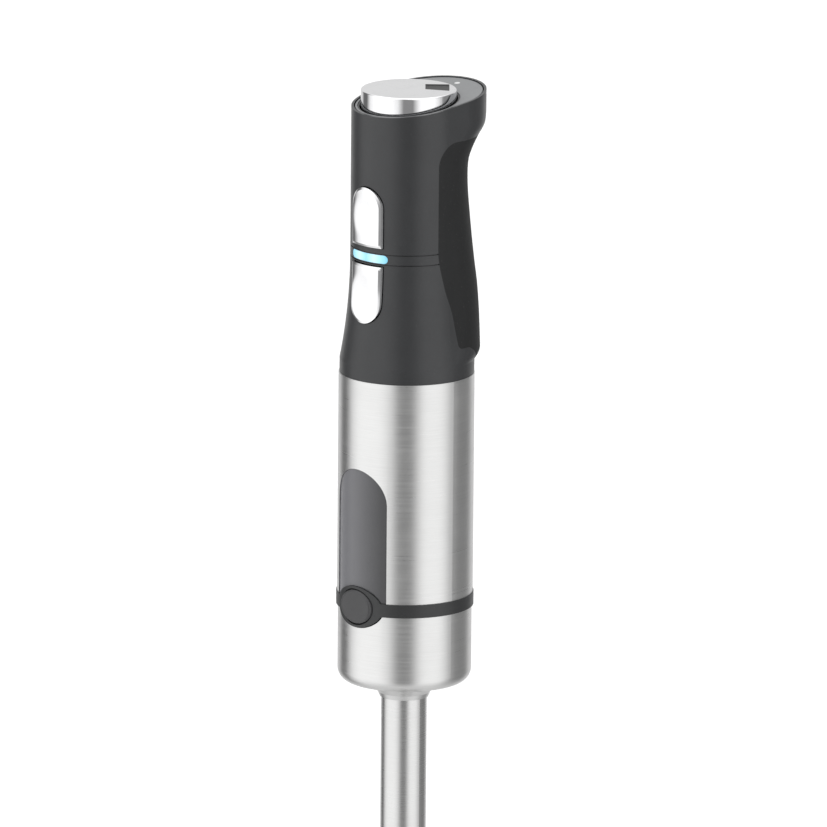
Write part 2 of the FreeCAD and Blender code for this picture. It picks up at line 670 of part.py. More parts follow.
def make_lower_body():
    """Steel sleeve, plastic lower housing with its socket, and the plaque."""
    sleeve = tube("sleeve_tube", "sleeve_r", SLEEVE_BORE, SLEEVE_LOW, "sleeve_height")
    opening = ellipse_prism(
        "sleeve_notch", "bezel_half_width + fit_gap", "bezel_half_height + fit_gap", BUTTON_Z,
        BODY_FRONT, 25,
    )
    keep(motor_sleeve=cut("motor_sleeve", sleeve, plaque_prism("sleeve_window", "fit_gap"), opening))
    band_r = "(sleeve_r + band_proud)"
    blank = revolved(
        "lower_blank",
        [
            ("spigot_r + slide_gap", "split_z"),
            (band_r, "split_z"),
            (band_r, SLEEVE_LOW),
            (LINER_R, SLEEVE_LOW),
            (LINER_R, f"{SLEEVE_TOP} - 4.6"),
            (LINER_BORE, f"{SLEEVE_TOP} - 4.6"),
            (LINER_BORE, FLOOR_TOP),
            ("coupling_r + 4", FLOOR_TOP),
            ("coupling_r + 4", SOCKET_TOP),
            ("spigot_r + slide_gap", SOCKET_TOP),
        ],
    )
    surround = common(
        "surround_ring",
        ellipse_prism("surround_prism", "bezel_half_width", "bezel_half_height", BUTTON_Z, BODY_FRONT,
                      "sleeve_r + 9 - spigot_r - 1.6"),
        tube("surround_wall", band_r, "spigot_r + slide_gap + 1", f"{BUTTON_Z} - 12", 24),
    )
    seat = common(
        "plaque_seat",
        plaque_prism("seat_prism", 0),
        tube(
            "seat_ring", "sleeve_r + 5", "sleeve_r - plaque_sink - plaque_thickness - 0.05",
            SLEEVE_LOW, "plaque_height",
        ),
    )
    seat_only = cut("plaque_seat_only", seat, cylinder("band_keep", 60, "band_height", z="split_z"))
    seat_clear = cut(
        "seat_clear",
        seat_only,
        ellipse_prism("surround_keep", "bezel_half_width", "bezel_half_height", BUTTON_Z, BODY_FRONT, 30),
    )
    well = ellipse_prism(
        "button_well", "button_half_width + button_gap", "button_half_height + button_gap",
        BUTTON_Z, BODY_FRONT,
        "sleeve_r + 9 - spigot_r - slide_gap - 1",
    )
    latch_room = cylinder("latch_room", f"{LINER_BORE} + 1.1", LATCH_HEIGHT + 0.6, z=f"{LATCH_Z} - 0.3")
    housing = cut(
        "lower_housing",
        cut("lower_seated", fuse("lower_blank_and_surround", blank, surround), seat_clear),
        well,
        latch_room,
    )
    panel = common(
        "plaque_panel",
        plaque_prism("panel_prism", 0),
        tube(
            "panel_ring", "sleeve_r - plaque_sink", "sleeve_r - plaque_sink - plaque_thickness",
            f"{SLEEVE_LOW} + 0.05", "plaque_height",
        ),
    )
    trimmed = cut(
        "plaque",
        panel,
        ellipse_prism("panel_notch", "bezel_half_width + 0.05", "bezel_half_height + 0.05",
                      BUTTON_Z, BODY_FRONT, 25),
    )
    keep(lower_housing=housing, plaque=trimmed)


def make_release():
    """Release button with the latch ring it moves, and its return spring."""
    blank = ellipse_prism(
        "release_blank", "button_half_width", "button_half_height", BUTTON_Z, f"-{BUTTON_FACE}",
        "button_depth",
    )
    domed = round_edges("release_domed", blank, "button_edge_r", front_edge(f"-{BUTTON_FACE}"))
    hollow = cylinder("release_hollow", 3.6, 6, TO_Y, y=f"{BUTTON_BACK} - 2.8", z=f"{BUTTON_Z} - 2.6")
    keep(release_button=cut("release_button", domed, hollow))
    ring = fuse(
        "latch_body",
        cylinder("latch_disc", "spigot_r + 3.4", LATCH_HEIGHT, z=LATCH_Z),
        wide_box("latch_front", 5, f"{BUTTON_BACK} - 2.6", LATCH_Z, 10, LATCH_HEIGHT),
    )
    opening = fuse(
        "latch_opening",
        cylinder("latch_hole", "spigot_r + slide_gap + 0.35", 10, z=f"{LATCH_Z} - 3"),
        cylinder("latch_hole_front", "spigot_r + slide_gap + 0.35", 10, y="-release_travel - 0.1",
                 z=f"{LATCH_Z} - 3"),
    )
    seat = ellipse_prism(
        "latch_seat", "button_half_width + 0.01", "button_half_height + 0.01", BUTTON_Z,
        f"-{BUTTON_FACE} - 1", "button_depth + 1.01",
    )
    keep(latch_ring=cut("latch_ring", ring, opening, seat))
    keep(
        release_spring=spring(
            "release_spring", 2.6, 0.35, 3, 4.6, TO_Y, y=f"{BUTTON_BACK} - 2.44", z=f"{BUTTON_Z} - 2.6"
        )
    )


# ---------------------------------------------------------------- motor

def make_stator():
    """Two-pole stator core and its two field coils, whose sides lie in slots beside the poles."""
    slot_side = "(pole_half_width + coil_width + 0.5)"
    slot_low = "(bore_r + 0.5)"
    slot_high = "(bore_r + coil_depth + 1)"
    core = cylinder("stator_blank", CORE_R, "core_height", z=CORE_LOW)
    tools = [cylinder("stator_bore", "bore_r", "core_height", z=CORE_LOW)]
    for side, gap, slot in (
        ("left", f"-{slot_side}", f"-{slot_side}"),
        ("right", f"{slot_side} - 4", "pole_half_width"),
    ):
        tools.append(box(f"pole_gap_{side}", gap, f"-{slot_high}", CORE_LOW, 4, f"2 * {slot_high}",
                         "core_height"))
        for end, y in (("front", f"-{slot_high}"), ("back", slot_low)):
            tools.append(
                box(f"slot_{side}_{end}", slot, y, CORE_LOW, "coil_width + 0.5",
                    f"{slot_high} - {slot_low}", "core_height")
            )
    for end, y in (("front", "-screw_y"), ("back", "screw_y")):
        tools.append(cylinder(f"screw_hole_{end}", 1.7, "core_height", y=y, z=CORE_LOW))
    coils = []
    for end, y in (("front", "-bore_r - 0.7 - coil_depth"), ("back", "bore_r + 0.7")):
        outer = wide_box(
            f"coil_{end}_outside", "pole_half_width + coil_width + 0.2", y, f"{CORE_LOW} - 5", "coil_depth",
            "core_height + 10",
        )
        inner = wide_box(
            f"coil_{end}_window", "pole_half_width + 0.2", y, f"{CORE_LOW} - 0.3", "coil_depth",
            "core_height + 0.6",
        )
        coils.append(cut(f"coil_{end}", outer, inner))
    keep(stator_core=cut("stator_core", core, *tools), field_coils=group("field_coils", *coils))


def bracket(name, low, seat_low):
    """Round bearing bracket: a disc with air holes and a hub around the bearing seat."""
    hub = cylinder(name + "_hub", "bearing_r + 3", f"{seat_low} + bearing_height - {low} + 0.5", z=low)
    disc = cylinder(name + "_disc", CORE_R, 3, z=low)
    tools = [
        cylinder(name + "_seat", "bearing_r + 0.02", "bearing_height + 5", z=seat_low),
        cylinder(name + "_pass", "bearing_r - 2", 20, z=f"{low} - 5"),
    ]
    for end, y in (("front", "-screw_y"), ("back", "screw_y")):
        tools.append(cylinder(f"{name}_screw_hole_{end}", 1.7, 6, y=y, z=f"{low} - 1"))
    for side, x in (("left", -19), ("right", 19)):
        for end, y in (("front", -9), ("back", 9)):
            tools.append(cylinder(f"{name}_air_{side}_{end}", 4.5, 6, x=x, y=y, z=f"{low} - 1"))
    return cut(name, fuse(name + "_blank", hub, disc), *tools)


def make_motor():
    """Everything of the motor that stands still."""
    make_stator()
    low_disc = f"{FLOOR_TOP}"
    high_disc = f"({UPPER_BEARING} - 1)"
    keep(
        lower_bracket=bracket("lower_bracket", low_disc, LOWER_BEARING),
        upper_bracket=bracket("upper_bracket", high_disc, UPPER_BEARING),
    )
    bore = "(shaft_r + run_gap)"
    keep(
        motor_bearings=group(
            "motor_bearings",
            tube("lower_bearing", "bearing_r", bore, LOWER_BEARING, "bearing_height"),
            tube("upper_bearing", "bearing_r", bore, UPPER_BEARING, "bearing_height"),
        ),
        motor_mounts=group(
            "motor_mounts",
            tube("lower_mount", CORE_R, f"{CORE_R} - 1.8", f"{low_disc} + 3.1", 3),
            tube("upper_mount", CORE_R, f"{CORE_R} - 1.8", f"{high_disc} + 3.1", 3),
        ),
    )
    screws = []
    for end, y in (("front", "-screw_y"), ("back", "screw_y")):
        shank = cylinder(f"motor_screw_{end}_shank", 1.5, f"{high_disc} - {low_disc} + 3", y=y, z=low_disc)
        head = cylinder(f"motor_screw_{end}_head", 2.4, 2, y=y, z=f"{high_disc} + 3")
        screws.append(fuse(f"motor_screw_{end}", shank, head))
    keep(motor_screws=group("motor_screws", *screws))
    holders, brushes, springs = [], [], []
    for side, sign in (("left", -1), ("right", 1)):
        start = "commutator_r + 2" if sign > 0 else "-commutator_r - 16"
        outside = box(f"holder_{side}_outside", start, -3.5, f"{BRUSH_Z} - 5", 14, 7, 10)
        inside = box(f"holder_{side}_inside", start, -2.6, f"{BRUSH_Z} - 4.1", 14, 5.2, 8.2)
        holders.append(cut(f"holder_{side}", outside, inside))
        reach = "commutator_r + 0.05"
        at = reach if sign > 0 else f"-({reach}) - 11"
        brushes.append(box(f"brush_{side}", at, -2.5, f"{BRUSH_Z} - 4", 11, 5, 8))
        from_x = f"{reach} + 11.4" if sign > 0 else f"-({reach}) - 15"
        springs.append(spring(f"brush_spring_{side}", 1.9, 0.25, 4, 3.6, TO_X, x=from_x, z=BRUSH_Z))
    keep(
        brush_holders=group("brush_holders", *holders),
        carbon_brushes=group("carbon_brushes", *brushes),
        brush_springs=group("brush_springs", *springs),
    )


def make_rotor():
    """What turns in the motor."""
    bore = "(shaft_r + 0.01)"
    low = "(split_z - 4)"
    top = f"({UPPER_BEARING} + bearing_height + 1)"
    keep(
        motor_shaft=cylinder("motor_shaft", "shaft_r", f"{top} - {low}", z=low),
        armature_core=tube("armature_core", "bore_r - air_gap", bore, CORE_LOW, "core_height"),
        armature_windings=group(
            "armature_windings",
            tube("lower_winding", "bore_r - 2.2", bore, f"{CORE_LOW} - 5.5", 5.4),
            tube("upper_winding", "bore_r - 2.2", bore, f"{CORE_TOP} + 0.1", 5.4),
        ),
        commutator=tube("commutator", "commutator_r", bore, f"{BRUSH_Z} - 6", 12),
    )
    fan_z = f"({LOWER_BEARING} + bearing_height + 1)"
    parts = [cylinder("fan_disc", "fan_r", 1.2, z=fan_z), cylinder("fan_hub", 6, 6.5, z=fan_z)]
    count = 11
    for i in range(count):
        vane = doc.addObject("Part::Box", f"fan_vane_{i}")
        spin = FreeCAD.Rotation(FreeCAD.Vector(0, 0, 1), 360 / count * i)
        start = spin.multVec(FreeCAD.Vector(5.5, 2.2, 0))
        vane.Placement = FreeCAD.Placement(start, spin)
        bind(vane, Length="fan_r - 6", Width=1, Height=6, z=fan_z)
        parts.append(vane)
    fan = cut("cooling_fan", fuse("fan_blank", *parts), cylinder("fan_bore", bore, 60, z="split_z"))
    hexagon = doc.addObject("Part::Prism", "coupling_hexagon")
    hexagon.Polygon = 6
    bind(hexagon, Circumradius="coupling_r", Height=17.5, z="split_z - 8")
    keep(
        cooling_fan=fan,
        drive_coupling=cut("drive_coupling", hexagon, cylinder("coupling_bore", bore, 60, z=low)),
    )


# ---------------------------------------------------------------- handle

def grip_region(name):
    """The palm side of the handle, as a prism with the soft grip's side outline."""
    front, top, foot = "(-grip_r * 0.203)", f"({HEAD_RIM} - 16)", f"({COLLAR_TOP} + 7.7)"
    # corners of the outline, and how much each is rounded
    corners = [
        (front, f"({FLARE_TOP} + 2)", 40),
        ("-1.5", f"({FLARE_TOP} - 13)", 55),
        ("2.2", f"({FLARE_TOP} - 23)", 35),
        ("4.8", foot, 2.5),
        ("12", foot, 6),
        ("16.5", f"({COLLAR_TOP} + 5)", 6),
        ("19.6", COLLAR_TOP, None),
        ("50", COLLAR_TOP, None),
        ("50", top, None),
        (front, top, 11),
    ]
    prism = side_prism(name + "_prism", [(y, z) for y, z, _ in corners], 60)
    doc.recompute()
    rounded = doc.addObject("Part::Fillet", name)
    rounded.Base = prism
    edges = []
    for y, z, radius in corners:
        if radius:
            corner = FreeCAD.Vector(0, size(y), size(z))
            near = [e.distToShape(Part.Vertex(corner))[0] for e in prism.Shape.Edges]
            edges.append((near.index(min(near)) + 1, radius, radius))
    rounded.Edges = edges
    return rounded


def handle_openings():
    """What is cut out of the handle's shell for the triggers, the light and the cord inlet."""
    tools = [
        arch_prism("trigger_opening", "trigger_half_width + slide_gap", f"({TRIGGER_LOW} - slide_gap)",
                   f"({TRIGGER_HIGH} + slide_gap)", GRIP_FRONT, 25),
        arch_prism("turbo_opening", "trigger_half_width + slide_gap", f"({TURBO_HIGH} + slide_gap)",
                   f"({TURBO_LOW} - slide_gap)", GRIP_FRONT, 25),
        light_prism("light_opening", 0.05),
        cylinder("gland_hole", "inlet_r + 1.6", 30, TO_Y, y=25, z=INLET_Z),
    ]
    for name, sign in (("upper_groove", 0.5), ("lower_groove", -0.5)):
        low = f"{LIGHT_Z} + groove_pitch * {sign} - 0.25"
        tools.append(tube(name, 60, "grip_r - groove_depth", low, 0.5))
    return tools


def make_handle():
    """Handle shell and soft grip, then what sits in the head."""
    outer = handle_form("handle_outer", 0)
    inner = handle_form("handle_inner", "(-shell_wall)")
    skin = handle_form("handle_skin", "(-grip_skin)")
    skin_bed = handle_form("handle_skin_bed", "(-grip_skin - 0.05)")
    grip_ring = cut("grip_ring", outer, skin)
    keep(rear_grip=common("rear_grip", grip_ring, grip_region("grip_outline")))
    bed = cut("grip_bed", grip_region("grip_bed_outline"), skin_bed)
    pocket = cut("plate_pocket", stadium_prism("pocket_prism", RIM_INSIDE, f"{HEAD_RIM} - 30", 60),
                 below("pocket_floor", "(-plate_thickness - 0.3)"))
    whole = cut("handle_shell", outer, inner, bed, above_slant("over_rim", 0), pocket, *handle_openings())
    joint_ring = tube("joint_ring", f"{SLEEVE_BORE} - fit_gap", f"{SLEEVE_BORE} - 2",
                      f"{SLEEVE_TOP} - 4.4", 5.2)
    joint_bore = cylinder("joint_bore", f"{SLEEVE_BORE} - 2.1", 12, z=f"{SLEEVE_TOP} - 8")
    joined = fuse("handle_shell_and_joint", whole, joint_ring)
    keep(front_housing=cut("front_housing", joined, joint_bore))
    make_plate()
    make_well()
    make_gland(outer)


def make_plate():
    """Top plate with its hole for the dial, and the round index mark on it."""
    plate = cut(
        "top_plate",
        stadium_prism("plate_prism", f"{RIM_INSIDE} - plate_groove", f"{HEAD_RIM} - 30", 60),
        above_slant("over_plate", "-0.3"),
        below("under_plate", "-plate_thickness - 0.25"),
        cylinder("plate_hole", PLATE_HOLE_R, 60, z=f"{HEAD_RIM} - 40"),
    )
    mark = cut(
        "index_mark",
        cylinder("mark_prism", 1.3, 40, y="head_reach + grip_r - 8.4", z=f"{HEAD_RIM} - 10"),
        above_slant("over_mark", "-0.1"),
        below("under_mark", "-0.295"),
    )
    keep(top_plate=plate, index_mark=mark)


def make_gland(outer):
    """Cord gland: a flange on the head's palm side and a sleeve through its wall."""
    palm = "grip_r + head_reach"
    flange = cylinder("gland_flange", "inlet_r + 3", 1.2, TO_Y, y=f"{palm} - 0.6", z=INLET_Z)
    sleeve = cylinder("gland_sleeve", "inlet_r + 1.5", 13, TO_Y, y=f"{palm} - 8.5", z=INLET_Z)
    plug = cylinder("gland_plug_body", "inlet_r + 1.5", 13, TO_Y, y=f"{palm} - 8.5", z=INLET_Z)
    outside = cut("gland_body", fuse("gland_blank", flange, sleeve), outer)
    blank = fuse("gland_whole", outside, common("gland_plug", plug, outer))
    keep(cord_gland=cut("cord_gland", blank, cylinder("gland_bore", "inlet_r", 40, TO_Y, y=20, z=INLET_Z)))


def below(name, lift):
    """Everything under the head's slanted plane, moved up by lift."""
    reach = 80
    block = turned(doc.addObject("Part::Box", name), (1, 0, 0), math.degrees(math.atan(size("head_slope"))))
    bind(block, Length=2 * reach, Width=2 * reach, Height=reach, x=-reach)
    # the block's top face lies on the plane, so its corner is a height down along the plane's normal
    bind(
        block,
        y=f"-{reach} + {reach} * sin(atan(head_slope))",
        z=f"{HEAD_RIM} + ({lift}) - head_slope * {reach} - {reach} * cos(atan(head_slope))",
    )
    block.setExpression("Placement.Rotation.Angle", formula("atan(head_slope)"))
    return block


def make_well():
    """Cup that the dial sits in."""
    cup = cylinder("well_cup", WELL_R, 40, z=WELL_FLOOR)
    room = cylinder("well_room", f"{WELL_R} - well_wall", 40, z=f"{WELL_FLOOR} + 1.2")
    shaft_hole = cylinder("well_shaft_hole", "dial_shaft_r + 0.8", 10, z=f"{WELL_FLOOR} - 4")
    keep(dial_well=cut("dial_well", cup, room, shaft_hole, above_slant("over_well", "-0.7")))


def light_prism(name, grow):
    """A prism along Y with the light strip's outline: a bar with round ends."""
    half = f"(light_height / 2 + {grow})"
    straight = "(light_half_width - light_height / 2)"
    ends = [
        cylinder(f"{name}_{side}", half, 8, TO_Y, x=f"{sign} * {straight}", y="-grip_r - 3", z=LIGHT_Z)
        for side, sign in (("left", -1), ("right", 1))
    ]
    bar = box(f"{name}_bar", f"-{straight}", "-grip_r - 3", f"{LIGHT_Z} - {half}",
              f"2 * {straight}", 8, f"2 * {half}")
    return fuse(name, bar, *ends)


def make_light():
    """Light strip, its small board and its two light sources."""
    lens_ring = tube("lens_ring", "grip_r", "grip_r - shell_wall - 0.4", f"{LIGHT_Z} - 4", 8)
    keep(
        light_lens=common("light_lens", light_prism("lens_prism", 0), lens_ring),
        light_board=wide_box("light_board", 9, "-grip_r + 8.4", f"{LIGHT_Z} - 3", 1.2, 6),
        light_chips=group(
            "light_chips",
            box("light_chip_left", -6, "-grip_r + 7.2", f"{LIGHT_Z} - 1.2", 2.4, 1.15, 2.4),
            box("light_chip_right", 3.6, "-grip_r + 7.2", f"{LIGHT_Z} - 1.2", 2.4, 1.15, 2.4),
        ),
    )


def make_trigger(name, flat_z, crown_z, proud):
    """A chrome trigger: an arched block that follows the handle's face, with a finger dish."""
    middle = f"(({flat_z} + {crown_z}) / 2)"
    arch = arch_prism(name + "_arch", "trigger_half_width", flat_z, crown_z, GRIP_FRONT, 19.5)
    face = common(name + "_face", arch, proud)
    dish_r = 46
    dish = cylinder(name + "_dish", dish_r, 60, TO_X, x=-30,
                    y=f"-(grip_r + trigger_proud + {dish_r} - 0.9)", z=middle)
    pocket = cylinder(name + "_pocket", 3.2, 3, TO_Y, y="3.1 - grip_r", z=middle)
    return cut(name, face, dish, pocket)


def make_triggers():
    """Speed trigger and turbo button with their springs, switches and carrier."""
    proud = handle_form("handle_proud", "trigger_proud")
    keep(
        speed_trigger=make_trigger("speed_trigger", TRIGGER_LOW, TRIGGER_HIGH, proud),
        turbo_button=make_trigger("turbo_button", TURBO_HIGH, TURBO_LOW, proud),
    )
    places = {
        "trigger": f"(({TRIGGER_LOW} + {TRIGGER_HIGH}) / 2)",
        "turbo": f"(({TURBO_LOW} + {TURBO_HIGH}) / 2)",
    }
    carrier = [wide_box("carrier_plate", 14, CARRIER_Y, f"{SLEEVE_TOP} + 8", 2,
                        f"{WELL_FLOOR} - {SLEEVE_TOP} - 20")]
    for kind, middle in places.items():
        coil = spring(f"{kind}_spring", 2.4, 0.35, 5, 9.4, TO_Y, y="3.5 - grip_r", z=middle)
        switch = wide_box(f"{kind}_switch_body", 3.2, f"{CARRIER_Y} - 6.4", f"{middle} + 4", 6, 8)
        plunger = cylinder(f"{kind}_plunger", 1, 2.4, TO_Y, y=f"{CARRIER_Y} - 8.8", z=f"{middle} + 8")
        carrier.append(tube(f"{kind}_boss", 3.6, 1.2, middle, 4, TO_Y, y=f"{CARRIER_Y} - 3.8"))
        keep(**{f"{kind}_spring": coil, f"{kind}_switch": fuse(f"{kind}_switch", switch, plunger)})
    blank = fuse("carrier_blank", *carrier)
    keep(switch_carrier=cut("switch_carrier", blank,
                            wide_box("carrier_light_slot", 6, f"{CARRIER_Y} - 1", f"{LIGHT_Z} - 3",
                                     4, 6)))


def make_control():
    """Circuit board and what sits on it, the potentiometer and the handle's screws."""
    board_low = f"({SLEEVE_TOP} + 10)"
    keep(
        circuit_board=wide_box("circuit_board", 16, -2, board_low, 1.6, f"{WELL_FLOOR} - 14 - {board_low}"),
        capacitor=wide_box("capacitor", 6.5, 0, f"{board_low} + 8", 9, 16),
        triac=wide_box("triac", 5, 0, f"{board_low} + 48", 4.4, 14),
        heatsink=wide_box("heatsink", 9, 4.5, f"{board_low} + 44", 1.5, 26),
    )
    choke = turned(doc.addObject("Part::Torus", "suppression_choke"), (1, 0, 0), 90)
    bind(choke, Radius1=5.5, Radius2=2.6, y=2.7, z=f"{board_low} + 36")
    keep(suppression_choke=choke)
    body = cylinder("pot_body", 8, 6, z=f"{WELL_FLOOR} - 10")
    collar = cylinder("pot_collar", 4.6, 4, z=f"{WELL_FLOOR} - 4")
    keep(
        potentiometer=cut(
            "potentiometer",
            fuse("pot_blank", body, collar),
            cylinder("pot_bore", "dial_shaft_r + run_gap", 12, z=f"{WELL_FLOOR} - 8"),
        )
    )
    screws = []
    for side, sign in (("left", -1), ("right", 1)):
        place = {"x": f"{sign} * (grip_r - 13.1)", "y": "head_reach + grip_r - 13.1"}
        shank = cylinder(f"plate_screw_{side}_shank", 1.4, 8.6, z=f"{HEAD_RIM} - 8.4", **place)
        head = cylinder(f"plate_screw_{side}_head", 2.6, 1.6, z=f"{HEAD_RIM} - 10", **place)
        screws.append(fuse(f"plate_screw_{side}", shank, head))
    keep(handle_screws=group("handle_screws", *screws))


def make_dial():
    """Speed dial: chrome cap, dark window floor and shaft."""
    low = f"({DIAL_TOP} - dial_height)"
    shaft_bore = "(dial_shaft_r + 0.01)"
    cap = cylinder("dial_blank", DIAL_R, "dial_height", z=low)
    edged = round_edges("dial_edged", cap, "0.8", ring_edge(DIAL_R, DIAL_TOP))
    room = cut(
        "dial_room",
        cylinder("dial_hollow", f"{DIAL_R} - dial_wall", "dial_height - 2.6", z=low),
        cylinder("dial_boss", "dial_shaft_r + 2.4", "dial_height", z=low),
    )
    stem = cylinder("dial_stem_bore", shaft_bore, "dial_height - 2.6", z=low)
    window = window_prism("window", 0, f"{DIAL_TOP} - window_depth", "window_depth + 5")
    keep(speed_dial=cut("speed_dial", edged, room, stem, window))
    keep(dial_pointer=window_prism("dial_pointer", 0.05, f"{DIAL_TOP} - window_depth", "0.9"))
    keep(dial_shaft=cylinder("dial_shaft", "dial_shaft_r", f"{DIAL_TOP} - 2.7 - {WELL_FLOOR} + 7",
                             z=f"{WELL_FLOOR} - 7"))


# The dial window's corners along and across its own axis, as shares of the dial's radius.
WINDOW = [(0.343, 0.453), (0.343, -0.05), (0.842, -0.192), (0.842, 0.444)]
WINDOW_TURN = 46.0


def window_prism(name, shrink, low, height):
    """The dial's window, as an upright prism turned to its place on the dial."""
    body = doc.addObject("PartDesign::Body", name)
    middle = [sum(corner[i] for corner in WINDOW) / len(WINDOW) for i in (0, 1)]
    corners = [
        [f"{DIAL_R} * {v} + {shrink if v < m else -shrink}" for v, m in zip(corner, middle)]
        for corner in WINDOW
    ]
    sketch = outline_sketch(body, name + "_outline", "XY_Plane", corners)
    pad = body.newObject("PartDesign::Pad", name + "_pad")
    pad.Profile = sketch
    pad.setExpression("Length", formula(height))
    turned(body, (0, 0, 1), WINDOW_TURN)
    return bind(body, z=low)


def check_all():
    """Refuse a failed object or an empty or broken sub-part."""
    failed = [o.Name for o in doc.Objects if {"Invalid", "Error"} & set(o.State)]
    broken = [
        name
        for name, thing in nodes.items()
        if thing.Shape.isNull() or not thing.Shape.isValid() or not thing.Shape.Solids
    ]
    if failed or broken:
        raise RuntimeError(f"failed objects {failed}, broken sub-parts {broken}")


def main():
    """Build every sub-part, check it and write it to parts/."""
    fill_sheet()
    make_foot()
    make_blade_shaft()
    make_lower_body()
    make_release()
    make_motor()
    make_rotor()
    make_handle()
    make_light()
    make_triggers()
    make_control()
    make_dial()
    doc.recompute()
    check_all()
    os.makedirs("parts", exist_ok=True)
    for name, thing in nodes.items():
        thing.Shape.exportStep(f"parts/{name}.step")
        box_now = thing.Shape.BoundBox
        print(
            f"{name:20s} solids {len(thing.Shape.Solids)}  volume {thing.Shape.Volume:10.1f}"
            f"  z {box_now.ZMin:7.2f} to {box_now.ZMax:7.2f}"
        )
    print(len(nodes), "nodes")


main()
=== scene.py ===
"""Looks of an immersion blender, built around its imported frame.

Sizes are millimetres in the classes and metres in the meshes. +Z points up to the speed dial, -Y is
the side with the two triggers, and the shaft's axis is the Z axis.
"""

import json
import logging
import math
from dataclasses import dataclass, field
from enum import Enum
from typing import Any, Iterable

import bmesh
import bpy
from mathutils import Matrix, Vector

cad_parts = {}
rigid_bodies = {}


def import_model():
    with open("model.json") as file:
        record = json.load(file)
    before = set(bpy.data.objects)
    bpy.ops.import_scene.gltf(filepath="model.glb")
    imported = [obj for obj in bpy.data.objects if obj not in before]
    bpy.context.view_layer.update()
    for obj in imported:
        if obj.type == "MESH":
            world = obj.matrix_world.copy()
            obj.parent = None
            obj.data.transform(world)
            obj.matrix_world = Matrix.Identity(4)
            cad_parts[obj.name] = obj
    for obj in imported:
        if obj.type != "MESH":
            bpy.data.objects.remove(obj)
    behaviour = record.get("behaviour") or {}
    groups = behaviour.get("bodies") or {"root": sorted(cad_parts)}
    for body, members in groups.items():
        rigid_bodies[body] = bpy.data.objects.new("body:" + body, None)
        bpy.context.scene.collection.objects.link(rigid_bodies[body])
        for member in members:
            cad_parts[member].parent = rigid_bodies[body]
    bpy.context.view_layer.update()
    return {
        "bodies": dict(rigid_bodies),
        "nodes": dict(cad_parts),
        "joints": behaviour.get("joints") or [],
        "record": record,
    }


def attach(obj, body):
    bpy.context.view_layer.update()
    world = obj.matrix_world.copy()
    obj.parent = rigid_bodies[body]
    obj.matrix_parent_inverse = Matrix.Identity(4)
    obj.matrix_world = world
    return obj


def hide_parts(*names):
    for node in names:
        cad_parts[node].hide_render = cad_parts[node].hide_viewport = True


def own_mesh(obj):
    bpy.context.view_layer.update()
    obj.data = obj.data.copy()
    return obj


MM = 0.001
PER_METRE = 1000.0
Color = tuple[float, float, float]
log = logging.getLogger("immersion_blender")


class Brushing(Enum):
    """Which way the fine lines of a worked metal run, as how fast they change along X, Y and Z."""

    AROUND = (60.0, 60.0, 9000.0)
    UPRIGHT = (5200.0, 5200.0, 45.0)
    ACROSS = (40.0, 5200.0, 5200.0)
    EVEN = (1800.0, 1800.0, 1800.0)


class Graph:
    """Adds and links the nodes of one node tree."""

    def __init__(self, tree: bpy.types.NodeTree) -> None:
        """Takes the tree to fill."""
        self.tree = tree

    def add(self, kind: str, inputs: dict[Any, Any] | None = None, **settings: Any) -> bpy.types.Node:
        """Adds one node.

        Args:
            kind: the node's type name, without "ShaderNode" for a shader node.
            inputs: what each input gets, by name or number: a socket to link, or a plain value.
            settings: the node's own properties.

        Returns:
            The new node.
        """
        node = self.tree.nodes.new("ShaderNode" + kind)
        for key, value in settings.items():
            setattr(node, key, value)
        for key, value in (inputs or {}).items():
            if isinstance(value, bpy.types.NodeSocket):
                self.tree.links.new(value, node.inputs[key])
            else:
                node.inputs[key].default_value = value
        return node

    def math(self, operation: str, a: Any, b: Any = 0.0, clamp: bool = False) -> bpy.types.NodeSocket:
        """Adds a Math node and returns its output."""
        return self.add("Math", {0: a, 1: b}, operation=operation, use_clamp=clamp).outputs[0]

    def spread(
        self, value: Any, low: float, high: float, to_low: float, to_high: float
    ) -> bpy.types.NodeSocket:
        """Maps a value's range onto another, held at its ends, and returns the output."""
        node = self.add(
            "MapRange",
            {"Value": value, "From Min": low, "From Max": high, "To Min": to_low, "To Max": to_high},
        )
        return node.outputs["Result"]

    def tint(self, share: Any, first: Any, second: Any) -> bpy.types.NodeSocket:
        """Mixes two colours and returns the output."""
        node = self.tree.nodes.new("ShaderNodeMix")
        node.data_type = "RGBA"
        for number, value in ((0, share), (6, first), (7, second)):
            if isinstance(value, bpy.types.NodeSocket):
                self.tree.links.new(value, node.inputs[number])
            else:
                node.inputs[number].default_value = (*value, 1.0) if number else value
        return node.outputs[2]


